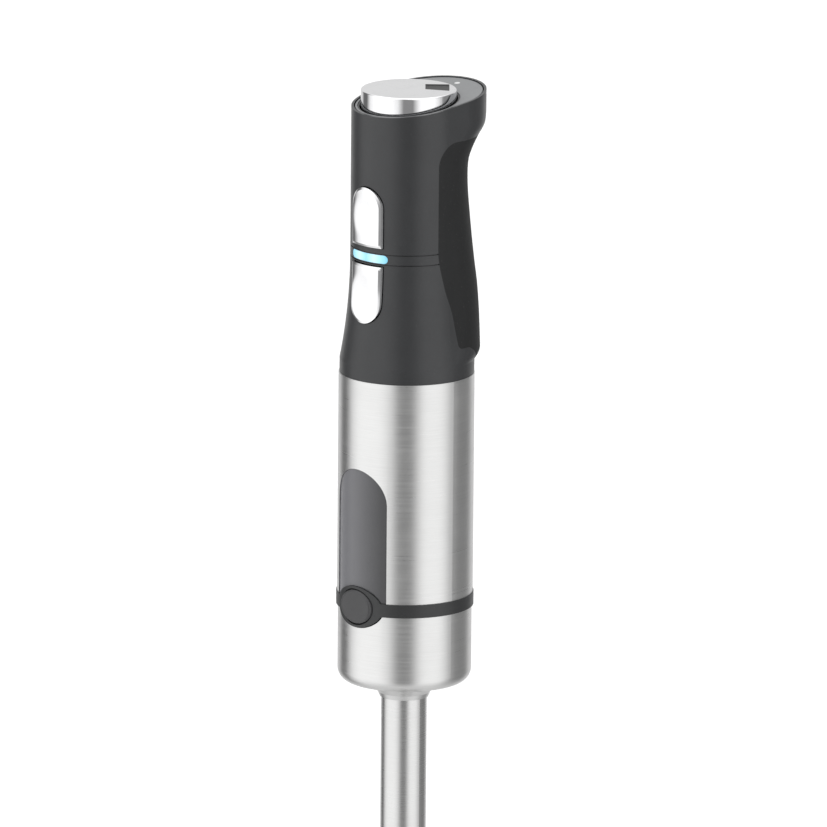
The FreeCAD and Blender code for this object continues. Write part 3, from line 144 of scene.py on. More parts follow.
class Effects:
    """The effects that several finishes use, each a node group that is made once."""

    @staticmethod
    def _start(name: str, inputs: dict[str, float], outputs: Iterable[str]) -> tuple[Graph, Any, Any]:
        """Makes an empty group with its sockets.

        Args:
            name: the group's name.
            inputs: each number that goes in, with its usual value. "Stretch" is a vector.
            outputs: each number that comes out.

        Returns:
            The group's graph, its input node and its output node.
        """
        tree = bpy.data.node_groups.new(name, "ShaderNodeTree")
        for label, value in inputs.items():
            kind = "NodeSocketVector" if label == "Stretch" else "NodeSocketFloat"
            socket = tree.interface.new_socket(label, in_out="INPUT", socket_type=kind)
            if kind == "NodeSocketFloat":
                socket.default_value = value
        for label in outputs:
            tree.interface.new_socket(label, in_out="OUTPUT", socket_type="NodeSocketFloat")
        graph = Graph(tree)
        return graph, tree.nodes.new("NodeGroupInput"), tree.nodes.new("NodeGroupOutput")

    @classmethod
    def moulded(cls) -> bpy.types.NodeTree:
        """Fine grain of a moulded surface, with a slow change of tone."""
        name = "moulded_grain"
        if name in bpy.data.node_groups:
            return bpy.data.node_groups[name]
        graph, start, end = cls._start(name, {"Grain": 0.25, "Patch": 18.0}, ("Height", "Tone"))
        place = graph.add("TexCoord").outputs["Object"]
        fine = graph.add(
            "TexNoise",
            {
                "Vector": place, "Scale": graph.math("DIVIDE", PER_METRE, start.outputs["Grain"]),
                "Detail": 2.0, "Roughness": 0.55,
            },
        )
        slow = graph.add(
            "TexNoise",
            {
                "Vector": place, "Scale": graph.math("DIVIDE", PER_METRE, start.outputs["Patch"]),
                "Detail": 3.0, "Roughness": 0.6,
            },
        )
        graph.tree.links.new(fine.outputs["Fac"], end.inputs["Height"])
        graph.tree.links.new(graph.spread(slow.outputs["Fac"], 0.3, 0.7, 0.0, 1.0), end.inputs["Tone"])
        return graph.tree

    @classmethod
    def brushed(cls) -> bpy.types.NodeTree:
        """Fine drawn lines, long in one direction, with some longer scratches among them."""
        name = "brushed_lines"
        if name in bpy.data.node_groups:
            return bpy.data.node_groups[name]
        graph, start, end = cls._start(name, {"Stretch": 0.0}, ("Lines", "Tone"))
        place = graph.add("TexCoord").outputs["Object"]
        drawn = graph.add("VectorMath", {0: place, 1: start.outputs["Stretch"]}, operation="MULTIPLY")
        fine = graph.add(
            "TexNoise", {"Vector": drawn.outputs[0], "Scale": 1.0, "Detail": 3.0, "Roughness": 0.7}
        )
        coarse = graph.add(
            "TexNoise", {"Vector": drawn.outputs[0], "Scale": 0.13, "Detail": 4.0, "Roughness": 0.65}
        )
        both = graph.math(
            "ADD", graph.math("MULTIPLY", fine.outputs["Fac"], 0.75),
            graph.math("MULTIPLY", coarse.outputs["Fac"], 0.25),
        )
        graph.tree.links.new(graph.spread(both, 0.3, 0.7, 0.0, 1.0), end.inputs["Lines"])
        graph.tree.links.new(graph.spread(coarse.outputs["Fac"], 0.35, 0.65, 0.0, 1.0), end.inputs["Tone"])
        return graph.tree

    @classmethod
    def handled(cls) -> bpy.types.NodeTree:
        """Faint smudges and dust of a thing that has been handled."""
        name = "handling_marks"
        if name in bpy.data.node_groups:
            return bpy.data.node_groups[name]
        graph, start, end = cls._start(name, {"Patch": 12.0}, ("Smudge", "Dust"))
        place = graph.add("TexCoord").outputs["Object"]
        scale = graph.math("DIVIDE", PER_METRE, start.outputs["Patch"])
        smear = graph.add(
            "TexNoise",
            {"Vector": place, "Scale": scale, "Detail": 5.0, "Roughness": 0.65, "Distortion": 0.8},
        )
        specks = graph.add("TexVoronoi", {"Vector": place, "Scale": 700.0, "Randomness": 1.0})
        graph.tree.links.new(graph.spread(smear.outputs["Fac"], 0.45, 0.75, 0.0, 1.0), end.inputs["Smudge"])
        graph.tree.links.new(
            graph.spread(specks.outputs["Distance"], 0.02, 0.09, 1.0, 0.0), end.inputs["Dust"]
        )
        return graph.tree

    @classmethod
    def near_level(cls) -> bpy.types.NodeTree:
        """1 close to one height over the guard's rim, falling to 0 at a given distance from it."""
        name = "near_level"
        if name in bpy.data.node_groups:
            return bpy.data.node_groups[name]
        graph, start, end = cls._start(name, {"Level": 0.0, "Reach": 1.0}, ("Mask",))
        apart = graph.add("SeparateXYZ", {0: graph.add("TexCoord").outputs["Object"]})
        away = graph.math(
            "ABSOLUTE",
            graph.math(
                "SUBTRACT", graph.math("MULTIPLY", apart.outputs["Z"], PER_METRE), start.outputs["Level"]
            ),
        )
        share = graph.math("DIVIDE", away, start.outputs["Reach"])
        graph.tree.links.new(graph.math("SUBTRACT", 1.0, share, clamp=True), end.inputs["Mask"])
        return graph.tree


@dataclass(frozen=True)
class Finish:
    """What every finish has: its name, its slot in the record, its colour and how rough it is."""

    slot: str
    color: Color
    roughness: float
    label: str = ""

    def material(self) -> bpy.types.Material:
        """The finish's material, which is made the first time it is asked for."""
        name = "look_" + (self.label or self.slot)
        found = bpy.data.materials.get(name)
        if found:
            return found
        material = bpy.data.materials.new(name)
        material.use_nodes = True
        graph = Graph(material.node_tree)
        shader = material.node_tree.nodes["Principled BSDF"]
        shader.inputs["Roughness"].default_value = self.roughness
        shader.inputs["Base Color"].default_value = (*self.color, 1.0)
        self.fill(graph, shader)
        return material

    def fill(self, graph: Graph, shader: bpy.types.Node) -> None:
        """Adds what makes this finish, which each kind of finish does in its own way."""
        raise NotImplementedError

    def bump(
        self, graph: Graph, shader: bpy.types.Node, height: Any, depth: float, strength: float = 1.0
    ) -> None:
        """Feeds a relief to the shader's normal.

        Args:
            graph: the material's graph.
            shader: its Principled shader.
            height: the socket with the relief, from 0 to 1.
            depth: the relief's depth in millimetres.
            strength: how much of it shows.
        """
        node = graph.add("Bump", {"Height": height, "Distance": depth * MM, "Strength": strength})
        graph.tree.links.new(node.outputs["Normal"], shader.inputs["Normal"])


def shade(color: Color, factor: float) -> Color:
    """The colour made lighter or darker by a factor."""
    return tuple(min(1.0, part * factor) for part in color)


@dataclass(frozen=True)
class Moulded(Finish):
    """Moulded plastic or rubber: grain, a slow change of tone, smudges and dust, and where asked a painted sheen
    on one side.
    """

    grain: float = 0.22
    depth: float = 0.006
    tone: float = 0.08
    dust: float = 0.0
    coat: float = 0.0
    specular: float = 0.5
    painted_sheen: tuple[float, float, float] | None = None

    def fill(self, graph: Graph, shader: bpy.types.Node) -> None:
        """Adds grain, tone, smudges and dust, and where asked a painted sheen that makes one side paler.

        The painted sheen's setting gives the places along X where it starts and ends, in millimetres,
        and how much paler the surface is painted at its start.
        """
        grain = graph.add("Group", {}, node_tree=Effects.moulded())
        grain.inputs["Grain"].default_value = self.grain
        marks = graph.add("Group", {}, node_tree=Effects.handled())
        base = graph.tint(
            grain.outputs["Tone"], shade(self.color, 1 - self.tone), shade(self.color, 1 + self.tone)
        )
        # Painted sheen: the colour turns paler towards -X, standing in for a reflection on the surface.
        if self.painted_sheen:
            start, end, sheen_gain = self.painted_sheen
            across = graph.add("SeparateXYZ", {0: graph.add("TexCoord").outputs["Object"]}).outputs["X"]
            share = graph.spread(across, start * MM, end * MM, 1.0, 0.0)
            base = graph.tint(share, base, shade(self.color, sheen_gain))
        dusty = graph.math("MULTIPLY", marks.outputs["Dust"], self.dust)
        graph.tree.links.new(graph.tint(dusty, base, (0.35, 0.34, 0.32)), shader.inputs["Base Color"])
        rough = graph.math("ADD", self.roughness, graph.math("MULTIPLY", marks.outputs["Smudge"], -0.06))
        rough = graph.math("ADD", rough, graph.math("MULTIPLY", grain.outputs["Height"], 0.06))
        graph.tree.links.new(rough, shader.inputs["Roughness"])
        shader.inputs["Specular IOR Level"].default_value = self.specular
        shader.inputs["Coat Weight"].default_value = self.coat
        shader.inputs["Coat Roughness"].default_value = 0.08
        self.bump(graph, shader, grain.outputs["Height"], self.depth)


@dataclass(frozen=True)
class Worked(Finish):
    """Worked metal: fine lines in one direction, uneven sheen and brighter, worn edges."""

    lines: Brushing = Brushing.AROUND
    contrast: float = 0.12
    depth: float = 0.004
    anisotropy: float = 0.0
    edges: tuple[float, ...] = ()
    dirt: tuple[float, ...] = ()

    def fill(self, graph: Graph, shader: bpy.types.Node) -> None:
        """Adds the lines, the smudges, and the worn or soiled levels."""
        brush = graph.add("Group", {}, node_tree=Effects.brushed())
        brush.inputs["Stretch"].default_value = self.lines.value
        marks = graph.add("Group", {}, node_tree=Effects.handled())
        marks.inputs["Patch"].default_value = 22.0
        base = graph.tint(
            brush.outputs["Lines"], shade(self.color, 1 - self.contrast), shade(self.color, 1 + self.contrast)
        )
        for levels, other in ((self.edges, shade(self.color, 1.25)), (self.dirt, shade(self.color, 0.35))):
            for level in levels:
                near = graph.add("Group", {}, node_tree=Effects.near_level())
                near.inputs["Level"].default_value = level
                near.inputs["Reach"].default_value = 0.7
                base = graph.tint(graph.math("MULTIPLY", near.outputs["Mask"], 0.6), base, other)
        graph.tree.links.new(base, shader.inputs["Base Color"])
        shader.inputs["Metallic"].default_value = 1.0
        rough = graph.math("ADD", self.roughness, graph.math("MULTIPLY", brush.outputs["Tone"], 0.10))
        rough = graph.math("ADD", rough, graph.math("MULTIPLY", marks.outputs["Smudge"], 0.06))
        graph.tree.links.new(rough, shader.inputs["Roughness"])
        shader.inputs["Anisotropic"].default_value = self.anisotropy
        shader.inputs["Anisotropic Rotation"].default_value = 0.25
        self.bump(graph, shader, brush.outputs["Lines"], self.depth)


@dataclass(frozen=True)
class Plated(Finish):
    """Polished chrome plating: nearly a mirror, with faint smears and a very slight waviness."""

    def fill(self, graph: Graph, shader: bpy.types.Node) -> None:
        """Adds smears to the sheen and a very slight waviness."""
        marks = graph.add("Group", {}, node_tree=Effects.handled())
        grain = graph.add("Group", {}, node_tree=Effects.moulded())
        grain.inputs["Grain"].default_value = 4.0
        base = graph.tint(marks.outputs["Smudge"], self.color, shade(self.color, 0.94))
        graph.tree.links.new(base, shader.inputs["Base Color"])
        shader.inputs["Metallic"].default_value = 1.0
        rough = graph.math("ADD", self.roughness, graph.math("MULTIPLY", marks.outputs["Smudge"], 0.05))
        graph.tree.links.new(rough, shader.inputs["Roughness"])
        self.bump(graph, shader, grain.outputs["Height"], 0.01)


@dataclass(frozen=True)
class Glow(Finish):
    """A lit light strip: brightest over its light sources, paler at its middle line."""

    strength: float = 1.6
    sources: tuple[float, ...] = (-4.8, 4.8)

    def fill(self, graph: Graph, shader: bpy.types.Node) -> None:
        """Adds the light's spread and the fine grain of the diffuser."""
        apart = graph.add("SeparateXYZ", {0: graph.add("TexCoord").outputs["Object"]})
        lit: Any = 0.0
        for x in self.sources:
            along = graph.math("MULTIPLY", apart.outputs["X"], PER_METRE)
            away = graph.math("ABSOLUTE", graph.math("SUBTRACT", along, x))
            near = graph.math("SUBTRACT", 1.0, graph.math("DIVIDE", away, 7.5), clamp=True)
            lit = graph.math("MAXIMUM", lit, near)
        grain = graph.add("Group", {}, node_tree=Effects.moulded())
        lit = graph.math(
            "ADD", graph.math("MULTIPLY", lit, 0.85), graph.math("MULTIPLY", grain.outputs["Tone"], 0.12)
        )
        graph.tree.links.new(graph.tint(lit, self.color, (0.86, 0.97, 1.0)), shader.inputs["Emission Color"])
        graph.tree.links.new(graph.tint(lit, shade(self.color, 0.8), self.color), shader.inputs["Base Color"])
        shader.inputs["Emission Strength"].default_value = self.strength
        self.bump(graph, shader, grain.outputs["Height"], 0.01)


@dataclass(frozen=True)
class Layered(Finish):
    """Stacked sheets or wound wire: even bands across one axis."""

    pitch: float = 0.5
    axis: str = "Z"
    metallic: float = 1.0
    depth: float = 0.06
    dark: float = 0.45

    def fill(self, graph: Graph, shader: bpy.types.Node) -> None:
        """Adds the bands as colour and relief."""
        place = graph.add("TexCoord").outputs["Object"]
        bands = graph.add(
            "TexWave",
            {
                "Vector": place, "Scale": PER_METRE / (self.pitch * 20.0) * math.pi, "Distortion": 0.6,
                "Detail": 1.0, "Detail Scale": 2.0,
            },
            bands_direction=self.axis,
        )
        marks = graph.add("Group", {}, node_tree=Effects.handled())
        base = graph.tint(bands.outputs["Fac"], shade(self.color, self.dark), self.color)
        graph.tree.links.new(
            graph.tint(graph.math("MULTIPLY", marks.outputs["Smudge"], 0.4), base, shade(self.color, 0.6)),
            shader.inputs["Base Color"],
        )
        shader.inputs["Metallic"].default_value = self.metallic
        self.bump(graph, shader, bands.outputs["Fac"], self.depth)


HOUSING = Moulded("housing_grey", (0.031, 0.032, 0.034), 0.31, grain=0.16, depth=0.004, tone=0.06, dust=0.25)
GRIP = Moulded(
    "grip_rubber", (0.013, 0.0135, 0.014), 0.6, grain=0.3, depth=0.02, tone=0.10, dust=0.4, specular=0.35
)
PLATE = Moulded("plate_grey", (0.21, 0.215, 0.22), 0.4, grain=0.16, depth=0.004, tone=0.05, dust=0.2)
BAND = Moulded("band_black", (0.026, 0.027, 0.028), 0.38, grain=0.2, depth=0.005, dust=0.25)
BUTTON = Moulded("button_grey", (0.05, 0.05, 0.052), 0.36, grain=0.2, depth=0.004, dust=0.2)
# The plaque's paler -X side is a painted sheen that stands in for its gloss reflection.
PLAQUE = Moulded(
    "plaque_gloss", (0.043, 0.043, 0.046), 0.3, grain=0.5, depth=0.001, tone=0.03, dust=0.1, coat=0.25,
    painted_sheen=(-13.0, 13.0, 4.8),
)
MARK = Moulded("mark_pale", (0.72, 0.72, 0.72), 0.45, grain=0.2, depth=0.003)
LIGHT = Glow("light_glow", (0.1, 0.42, 0.58), 0.3, strength=0.75)
POINTER = Moulded("pointer_dark", (0.01, 0.01, 0.01), 0.45, grain=0.2)
CHROME = Plated("chrome", (0.9, 0.9, 0.91), 0.06)
SLEEVE = Worked("steel_brushed", (0.74, 0.74, 0.735), 0.27, anisotropy=0.6, contrast=0.07)
TUBE = Worked("steel_satin", (0.7, 0.7, 0.695), 0.24, anisotropy=0.5, contrast=0.05)
BLADE = Worked("steel_blade", (0.62, 0.62, 0.63), 0.2, lines=Brushing.ACROSS, contrast=0.1)
STEEL = Worked("steel_plain", (0.55, 0.55, 0.56), 0.3, contrast=0.08)
ALUMINIUM = Worked("aluminium", (0.72, 0.72, 0.74), 0.36, lines=Brushing.UPRIGHT)
NYLON = Moulded("inner_nylon", (0.66, 0.65, 0.6), 0.5, grain=0.4, depth=0.01)
BOARD = Moulded("board_green", (0.025, 0.14, 0.06), 0.35, grain=0.8, depth=0.01, tone=0.25, coat=0.3)
IRON = Layered("iron", (0.2, 0.2, 0.21), 0.45)
COPPER = Layered("copper", (0.72, 0.36, 0.2), 0.3, pitch=0.6, axis="Z")
BRASS = Worked("brass", (0.76, 0.58, 0.28), 0.3)
CARBON = Moulded("carbon", (0.025, 0.025, 0.026), 0.5, grain=0.25, depth=0.01)
CAPACITOR = Moulded("capacitor_yellow", (0.72, 0.58, 0.08), 0.3, grain=0.5, coat=0.3)


def dress(frame: dict[str, Any], finishes: dict[str, Finish]) -> None:
    """Gives CAD nodes their finishes.

    Args:
        finishes: each node's name and its finish.
    """
    for name, finish in finishes.items():
        for holder in frame["nodes"][name].material_slots:
            holder.material = finish.material()
        log.info("%s: %s", name, finish.slot)


@dataclass
class HandleForm:
    """The handle's front: an even tube that flares to the collar under the triggers."""

    grip_radius: float = 26.1
    collar_radius: float = 30.6
    flare_top: float = 343.0
    flare_height: float = 48.0

    def radius(self, z: float) -> float:
        """The handle's radius at a height, in millimetres."""
        if z >= self.flare_top:
            return self.grip_radius
        rise = self.collar_radius - self.grip_radius
        arc = (self.flare_height**2 + rise**2) / (2 * rise)
        return self.grip_radius + arc - math.sqrt(arc**2 - (self.flare_top - z) ** 2)


@dataclass
class FrontPanel:
    """A small piece on the handle's front: a closed block whose face follows the handle.

    Its sizes are in millimetres. The chamfer runs around the face and is as wide as given.
    """

    name: str
    body: str
    node: str
    finish: Finish
    back: float
    proud: float
    chamfer: float
    drop: float
    form: HandleForm = field(default_factory=HandleForm)
    cell: float = 0.8
    creased: float = 0.6

    def outline(self, shape: bmesh.types.BMesh) -> None:
        """Draws the outline as one flat face in the plane y = 0."""
        raise NotImplementedError

    def inside(self, x: float, z: float) -> float:
        """How far a point of the face lies inside the outline."""
        raise NotImplementedError

    def bounds(self) -> tuple[float, float, float]:
        """Half width, lowest and highest height."""
        raise NotImplementedError

    def face(self, x: float, z: float) -> float:
        """The face's place along Y at a point, before its edge is chamfered."""
        radius = self.form.radius(z) + self.proud
        return -math.sqrt(radius**2 - x**2)

    def build(self) -> bpy.types.Object:
        """Builds the piece, which rides on its body and stands for its CAD node.

        Returns:
            The piece's object.
        """
        shape = bmesh.new()
        self.outline(shape)
        front = shape.faces[:][0]
        moved = bmesh.ops.extrude_face_region(shape, geom=[front], use_keep_orig=True)
        rear = [part for part in moved["geom"] if isinstance(part, bmesh.types.BMVert)]
        bmesh.ops.translate(shape, verts=rear, vec=(0.0, 60.0, 0.0))
        for width in (0.12, self.chamfer - 0.24, 0.12, 0.16):
            bmesh.ops.inset_region(shape, faces=[front], thickness=width, use_even_offset=True)
        self.divide(shape)
        for vert in shape.verts:
            x, y, z = vert.co
            if y > 1.0:
                vert.co.y = self.back
            else:
                slope = max(0.0, 1.0 - self.inside(x, z) / self.chamfer)
                vert.co.y = self.face(x, z) + self.drop * slope
        bmesh.ops.remove_doubles(shape, verts=shape.verts, dist=0.001)
        bmesh.ops.recalc_face_normals(shape, faces=shape.faces)
        bmesh.ops.scale(shape, vec=(MM, MM, MM), verts=shape.verts)
        piece = finished(self.name, shape, self.finish, self.body, self.creased)
        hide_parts(self.node)
        return piece

    def divide(self, shape: bmesh.types.BMesh) -> None:
        """Cuts the face into small cells, so that it can follow the handle."""
        half, low, high = self.bounds()
        cuts = [((x, 0, 0), (1, 0, 0)) for x in steps(-half, half, self.cell)]
        cuts += [((0, 0, z), (0, 0, 1)) for z in steps(low, high, self.cell)]
        for place, normal in cuts:
            flat = [face for face in shape.faces if all(abs(vert.co.y) < 0.01 for vert in face.verts)]
            near = set(flat)
            for face in flat:
                near.update(face.edges)
                near.update(face.verts)
            bmesh.ops.bisect_plane(shape, geom=list(near), dist=1e-5, plane_co=place, plane_no=normal)


def steps(low: float, high: float, size: float) -> list[float]:
    """Evenly spaced places between two ends, about one size apart, without the ends."""
    count = max(2, round((high - low) / size))
    return [low + (high - low) * i / count for i in range(1, count)]


def finished(
    name: str, shape: bmesh.types.BMesh, finish: Finish, body: str, creased: float = 0.6
) -> bpy.types.Object:
    """Turns a finished shape into a piece of the object.

    Args:
        name: the piece's name.
        shape: its shape in metres, which is used up.
        finish: what it is made of.
        body: the body it rides on.
        creased: the angle between faces, in radians, from which an edge stays sharp.

    Returns:
        The piece's object.
    """
    for face in shape.faces:
        face.smooth = True
    for edge in shape.edges:
        edge.smooth = edge.calc_face_angle(0.0) < creased
    mesh = bpy.data.meshes.new(name)
    shape.to_mesh(mesh)
    shape.free()
    mesh.materials.append(finish.material())
    piece = bpy.data.objects.new(name, mesh)
    bpy.context.scene.collection.objects.link(piece)
    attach(piece, body)
    log.info("%s: %d faces, %s", name, len(mesh.polygons), finish.slot)
    return piece


@dataclass
class ArchPanel(FrontPanel):
    """A trigger: flat at one end, round at the other, with a finger dish."""

    half_width: float = 9.35
    flat_end: float = 350.7
    round_end: float = 377.9
    dish_radius: float = 46.0
    dish_depth: float = 0.9

    def centre(self) -> float:
        """The height of the round end's middle."""
        return self.round_end - math.copysign(self.half_width, self.round_end - self.flat_end)

    def outline(self, shape: bmesh.types.BMesh) -> None:
        """Draws half a disc, grown by a straight part."""
        up = self.round_end > self.flat_end
        turn = Matrix.Translation((0, 0, self.centre())) @ Matrix.Rotation(math.pi / 2, 4, "X")
        bmesh.ops.create_circle(shape, cap_ends=True, radius=self.half_width, segments=72, matrix=turn)
        side = (0, 0, -1 if up else 1)
        bmesh.ops.bisect_plane(
            shape, geom=shape.faces[:] + shape.edges[:] + shape.verts[:], dist=1e-5,
            plane_co=(0, 0, self.centre()), plane_no=side, clear_outer=True,
        )
        straight = [edge for edge in shape.edges if all(abs(v.co.z - self.centre()) < 1e-4 for v in edge.verts)]
        grown = bmesh.ops.extrude_edge_only(shape, edges=straight)
        ends = [part for part in grown["geom"] if isinstance(part, bmesh.types.BMVert)]
        bmesh.ops.translate(shape, verts=ends, vec=(0, 0, self.flat_end - self.centre()))
        bmesh.ops.dissolve_faces(shape, faces=shape.faces[:])

    def inside(self, x: float, z: float) -> float:
        """How far a point lies inside the arch."""
        up = math.copysign(1.0, self.round_end - self.flat_end)
        over = (z - self.centre()) * up
        side = self.half_width - (math.hypot(x, over) if over > 0 else abs(x))
        return max(0.0, min(side, (z - self.flat_end) * up))

    def bounds(self) -> tuple[float, float, float]:
        """Half width, lowest and highest height."""
        return self.half_width, min(self.flat_end, self.round_end), max(self.flat_end, self.round_end)

    def face(self, x: float, z: float) -> float:
        """The trigger's face: proud of the handle, hollowed for the finger."""
        plain = super().face(x, z)
        middle = (self.flat_end + self.round_end) / 2
        low = -(self.form.grip_radius + self.proud + self.dish_radius - self.dish_depth)
        dish = low + math.sqrt(self.dish_radius**2 - (z - middle) ** 2)
        soft = 0.25
        return (plain + dish + math.sqrt((plain - dish) ** 2 + soft**2)) / 2 - soft / 6


@dataclass
class CapsulePanel(FrontPanel):
    """The light strip's lens: a bar with round ends."""

    half_width: float = 11.4
    half_height: float = 1.95
    height: float = 345.45

    def outline(self, shape: bmesh.types.BMesh) -> None:
        """Draws a disc whose two halves stand apart."""
        turn = Matrix.Translation((0, 0, self.height)) @ Matrix.Rotation(math.pi / 2, 4, "X")
        bmesh.ops.create_circle(shape, cap_ends=True, radius=self.half_height, segments=40, matrix=turn)
        apart = self.half_width - self.half_height
        bmesh.ops.bisect_plane(
            shape, geom=shape.faces[:] + shape.edges[:] + shape.verts[:], dist=1e-5,
            plane_co=(0, 0, 0), plane_no=(1, 0, 0),
        )
        middle = [edge for edge in shape.edges if all(abs(v.co.x) < 1e-4 for v in edge.verts)]
        bmesh.ops.split_edges(shape, edges=middle)
        for vert in shape.verts:
            side = vert.link_faces[0].calc_center_median().x
            vert.co.x += math.copysign(apart, side)
        loops = [edge for edge in shape.edges if edge.is_boundary and abs(abs(edge.verts[0].co.x) - apart) < 1e-4
                 and abs(abs(edge.verts[1].co.x) - apart) < 1e-4]
        bmesh.ops.bridge_loops(shape, edges=loops)
        bmesh.ops.dissolve_faces(shape, faces=shape.faces[:])

    def inside(self, x: float, z: float) -> float:
        """How far a point lies inside the capsule."""
        along = max(0.0, abs(x) - (self.half_width - self.half_height))
        return max(0.0, self.half_height - math.hypot(along, z - self.height))

    def bounds(self) -> tuple[float, float, float]:
        """Half width, lowest and highest height."""
        return self.half_width, self.height - self.half_height, self.height + self.half_height


@dataclass
class CoilSpring:
    """A return spring, wound as a coil of round wire. Sizes are in millimetres."""

    name: str
    node: str
    joint: str
    radius: float
    turns: int
    start: float
    length: float
    height: float
    travel: float
    wire: float = 0.35
    wire_sides: int = 12
    turn_steps: int = 32

    def build(self) -> bpy.types.Object:
        """Winds the coil from its moving end to its fixed one.

        Returns:
            The coil's object.
        """
        shape = bmesh.new()
        place = Matrix.Translation((self.radius, self.start, self.height))
        bmesh.ops.create_circle(
            shape, cap_ends=False, radius=self.wire, segments=self.wire_sides, matrix=place
        )
        count = self.turns * self.turn_steps
        bmesh.ops.spin(
            shape, geom=shape.verts[:] + shape.edges[:], cent=(0, self.start, self.height), axis=(0, 1, 0),
            dvec=(0, self.length / count, 0), angle=self.turns * math.tau, steps=count, use_merge=False,
        )
        ends = [edge for edge in shape.edges if edge.is_boundary]
        bmesh.ops.holes_fill(shape, edges=ends, sides=self.wire_sides)
        bmesh.ops.recalc_face_normals(shape, faces=shape.faces[:])
        bmesh.ops.scale(shape, vec=(MM, MM, MM), verts=shape.verts)
        piece = finished(self.name, shape, STEEL, "motor_unit", creased=1.2)
        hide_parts(self.node)
        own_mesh(piece)
        return piece


@dataclass
class Foot:
    """The lift-off blending foot: bell, tube, guard, blade and drive shaft."""

    frame: dict[str, Any]

    def build(self) -> None:
        """Dresses the foot."""
        dress(
            self.frame,
            {
                "foot_bell": SLEEVE, "neck_collar": TUBE, "shaft_tube": TUBE, "blade_guard": TUBE,
                "foot_coupler": BAND, "foot_bushes": BRASS, "shaft_seal": GRIP, "drive_shaft": STEEL,
                "driven_coupling": CARBON, "blade": BLADE, "blade_nut": BLADE,
            },
        )


@dataclass
class LowerBody:
    """The steel sleeve with its plaque, black band, liner and release button."""

    frame: dict[str, Any]

    def build(self) -> None:
        """Dresses the lower body."""
        dress(
            self.frame,
            {
                "motor_sleeve": SLEEVE, "lower_housing": BAND, "plaque": PLAQUE, "release_button": BUTTON,
                "latch_ring": STEEL, "release_spring": STEEL,
            },
        )
        CoilSpring(
            "release_coil", "release_spring", "release_press",
            radius=2.6, turns=3, start=-28.44, length=4.6, height=180.4, travel=2.5,
        ).build()


@dataclass
class Motor:
    """The universal motor with its brackets, brushes and fan."""

    frame: dict[str, Any]

    def build(self) -> None:
        """Dresses the motor."""
        dress(
            self.frame,
            {
                "lower_bracket": NYLON, "upper_bracket": NYLON, "motor_bearings": BRASS, "motor_mounts": GRIP,
                "motor_screws": STEEL, "stator_core": IRON, "field_coils": COPPER, "brush_holders": BRASS,
                "carbon_brushes": CARBON, "brush_springs": STEEL, "motor_shaft": STEEL, "armature_core": IRON,
                "armature_windings": COPPER, "commutator": COPPER, "cooling_fan": NYLON, "drive_coupling": CARBON,
            },
        )


@dataclass
class Handle:
    """The handle: shell, soft grip, head, dial, triggers, light and electronics."""

    frame: dict[str, Any]

    def build(self) -> None:
        """Dresses the handle."""
        dress(
            self.frame,
            {
                "front_housing": HOUSING, "rear_grip": GRIP, "top_plate": PLATE, "index_mark": MARK,
                "dial_well": BAND, "cord_gland": GRIP, "light_lens": LIGHT, "light_board": BOARD,
                "light_chips": MARK, "handle_screws": STEEL, "circuit_board": BOARD, "switch_carrier": NYLON,
                "trigger_switch": CARBON, "turbo_switch": CARBON, "potentiometer": STEEL, "capacitor": CAPACITOR,
                "suppression_choke": COPPER, "triac": CARBON, "heatsink": ALUMINIUM, "trigger_spring": STEEL,
                "turbo_spring": STEEL, "speed_dial": CHROME, "dial_pointer": POINTER, "dial_shaft": STEEL,
                "speed_trigger": CHROME, "turbo_button": CHROME,
            },
        )
        self.trigger("trigger_cap", "trigger", "speed_trigger", 350.7, 377.9).build()
        self.trigger("turbo_cap", "turbo", "turbo_button", 342.0, 315.0).build()
        CapsulePanel("light_strip", "motor_unit", "light_lens", LIGHT, -23.1, 0.15, 0.7, 0.35).build()
        CoilSpring(
            "trigger_coil", "trigger_spring", "trigger_press",
            radius=2.4, turns=5, start=-20.2, length=7.0, height=364.3, travel=2.0,
        ).build()
        CoilSpring(
            "turbo_coil", "turbo_spring", "turbo_press",
            radius=2.4, turns=5, start=-20.2, length=7.0, height=328.5, travel=2.0,
        ).build()

    def trigger(self, name: str, body: str, node: str, flat_end: float, round_end: float) -> ArchPanel:
        """One chrome trigger between its flat and its round end."""
        return ArchPanel(
            name, body, node, CHROME, back=-20.6, proud=1.7, chamfer=1.1, drop=0.55,
            flat_end=flat_end, round_end=round_end,
        )


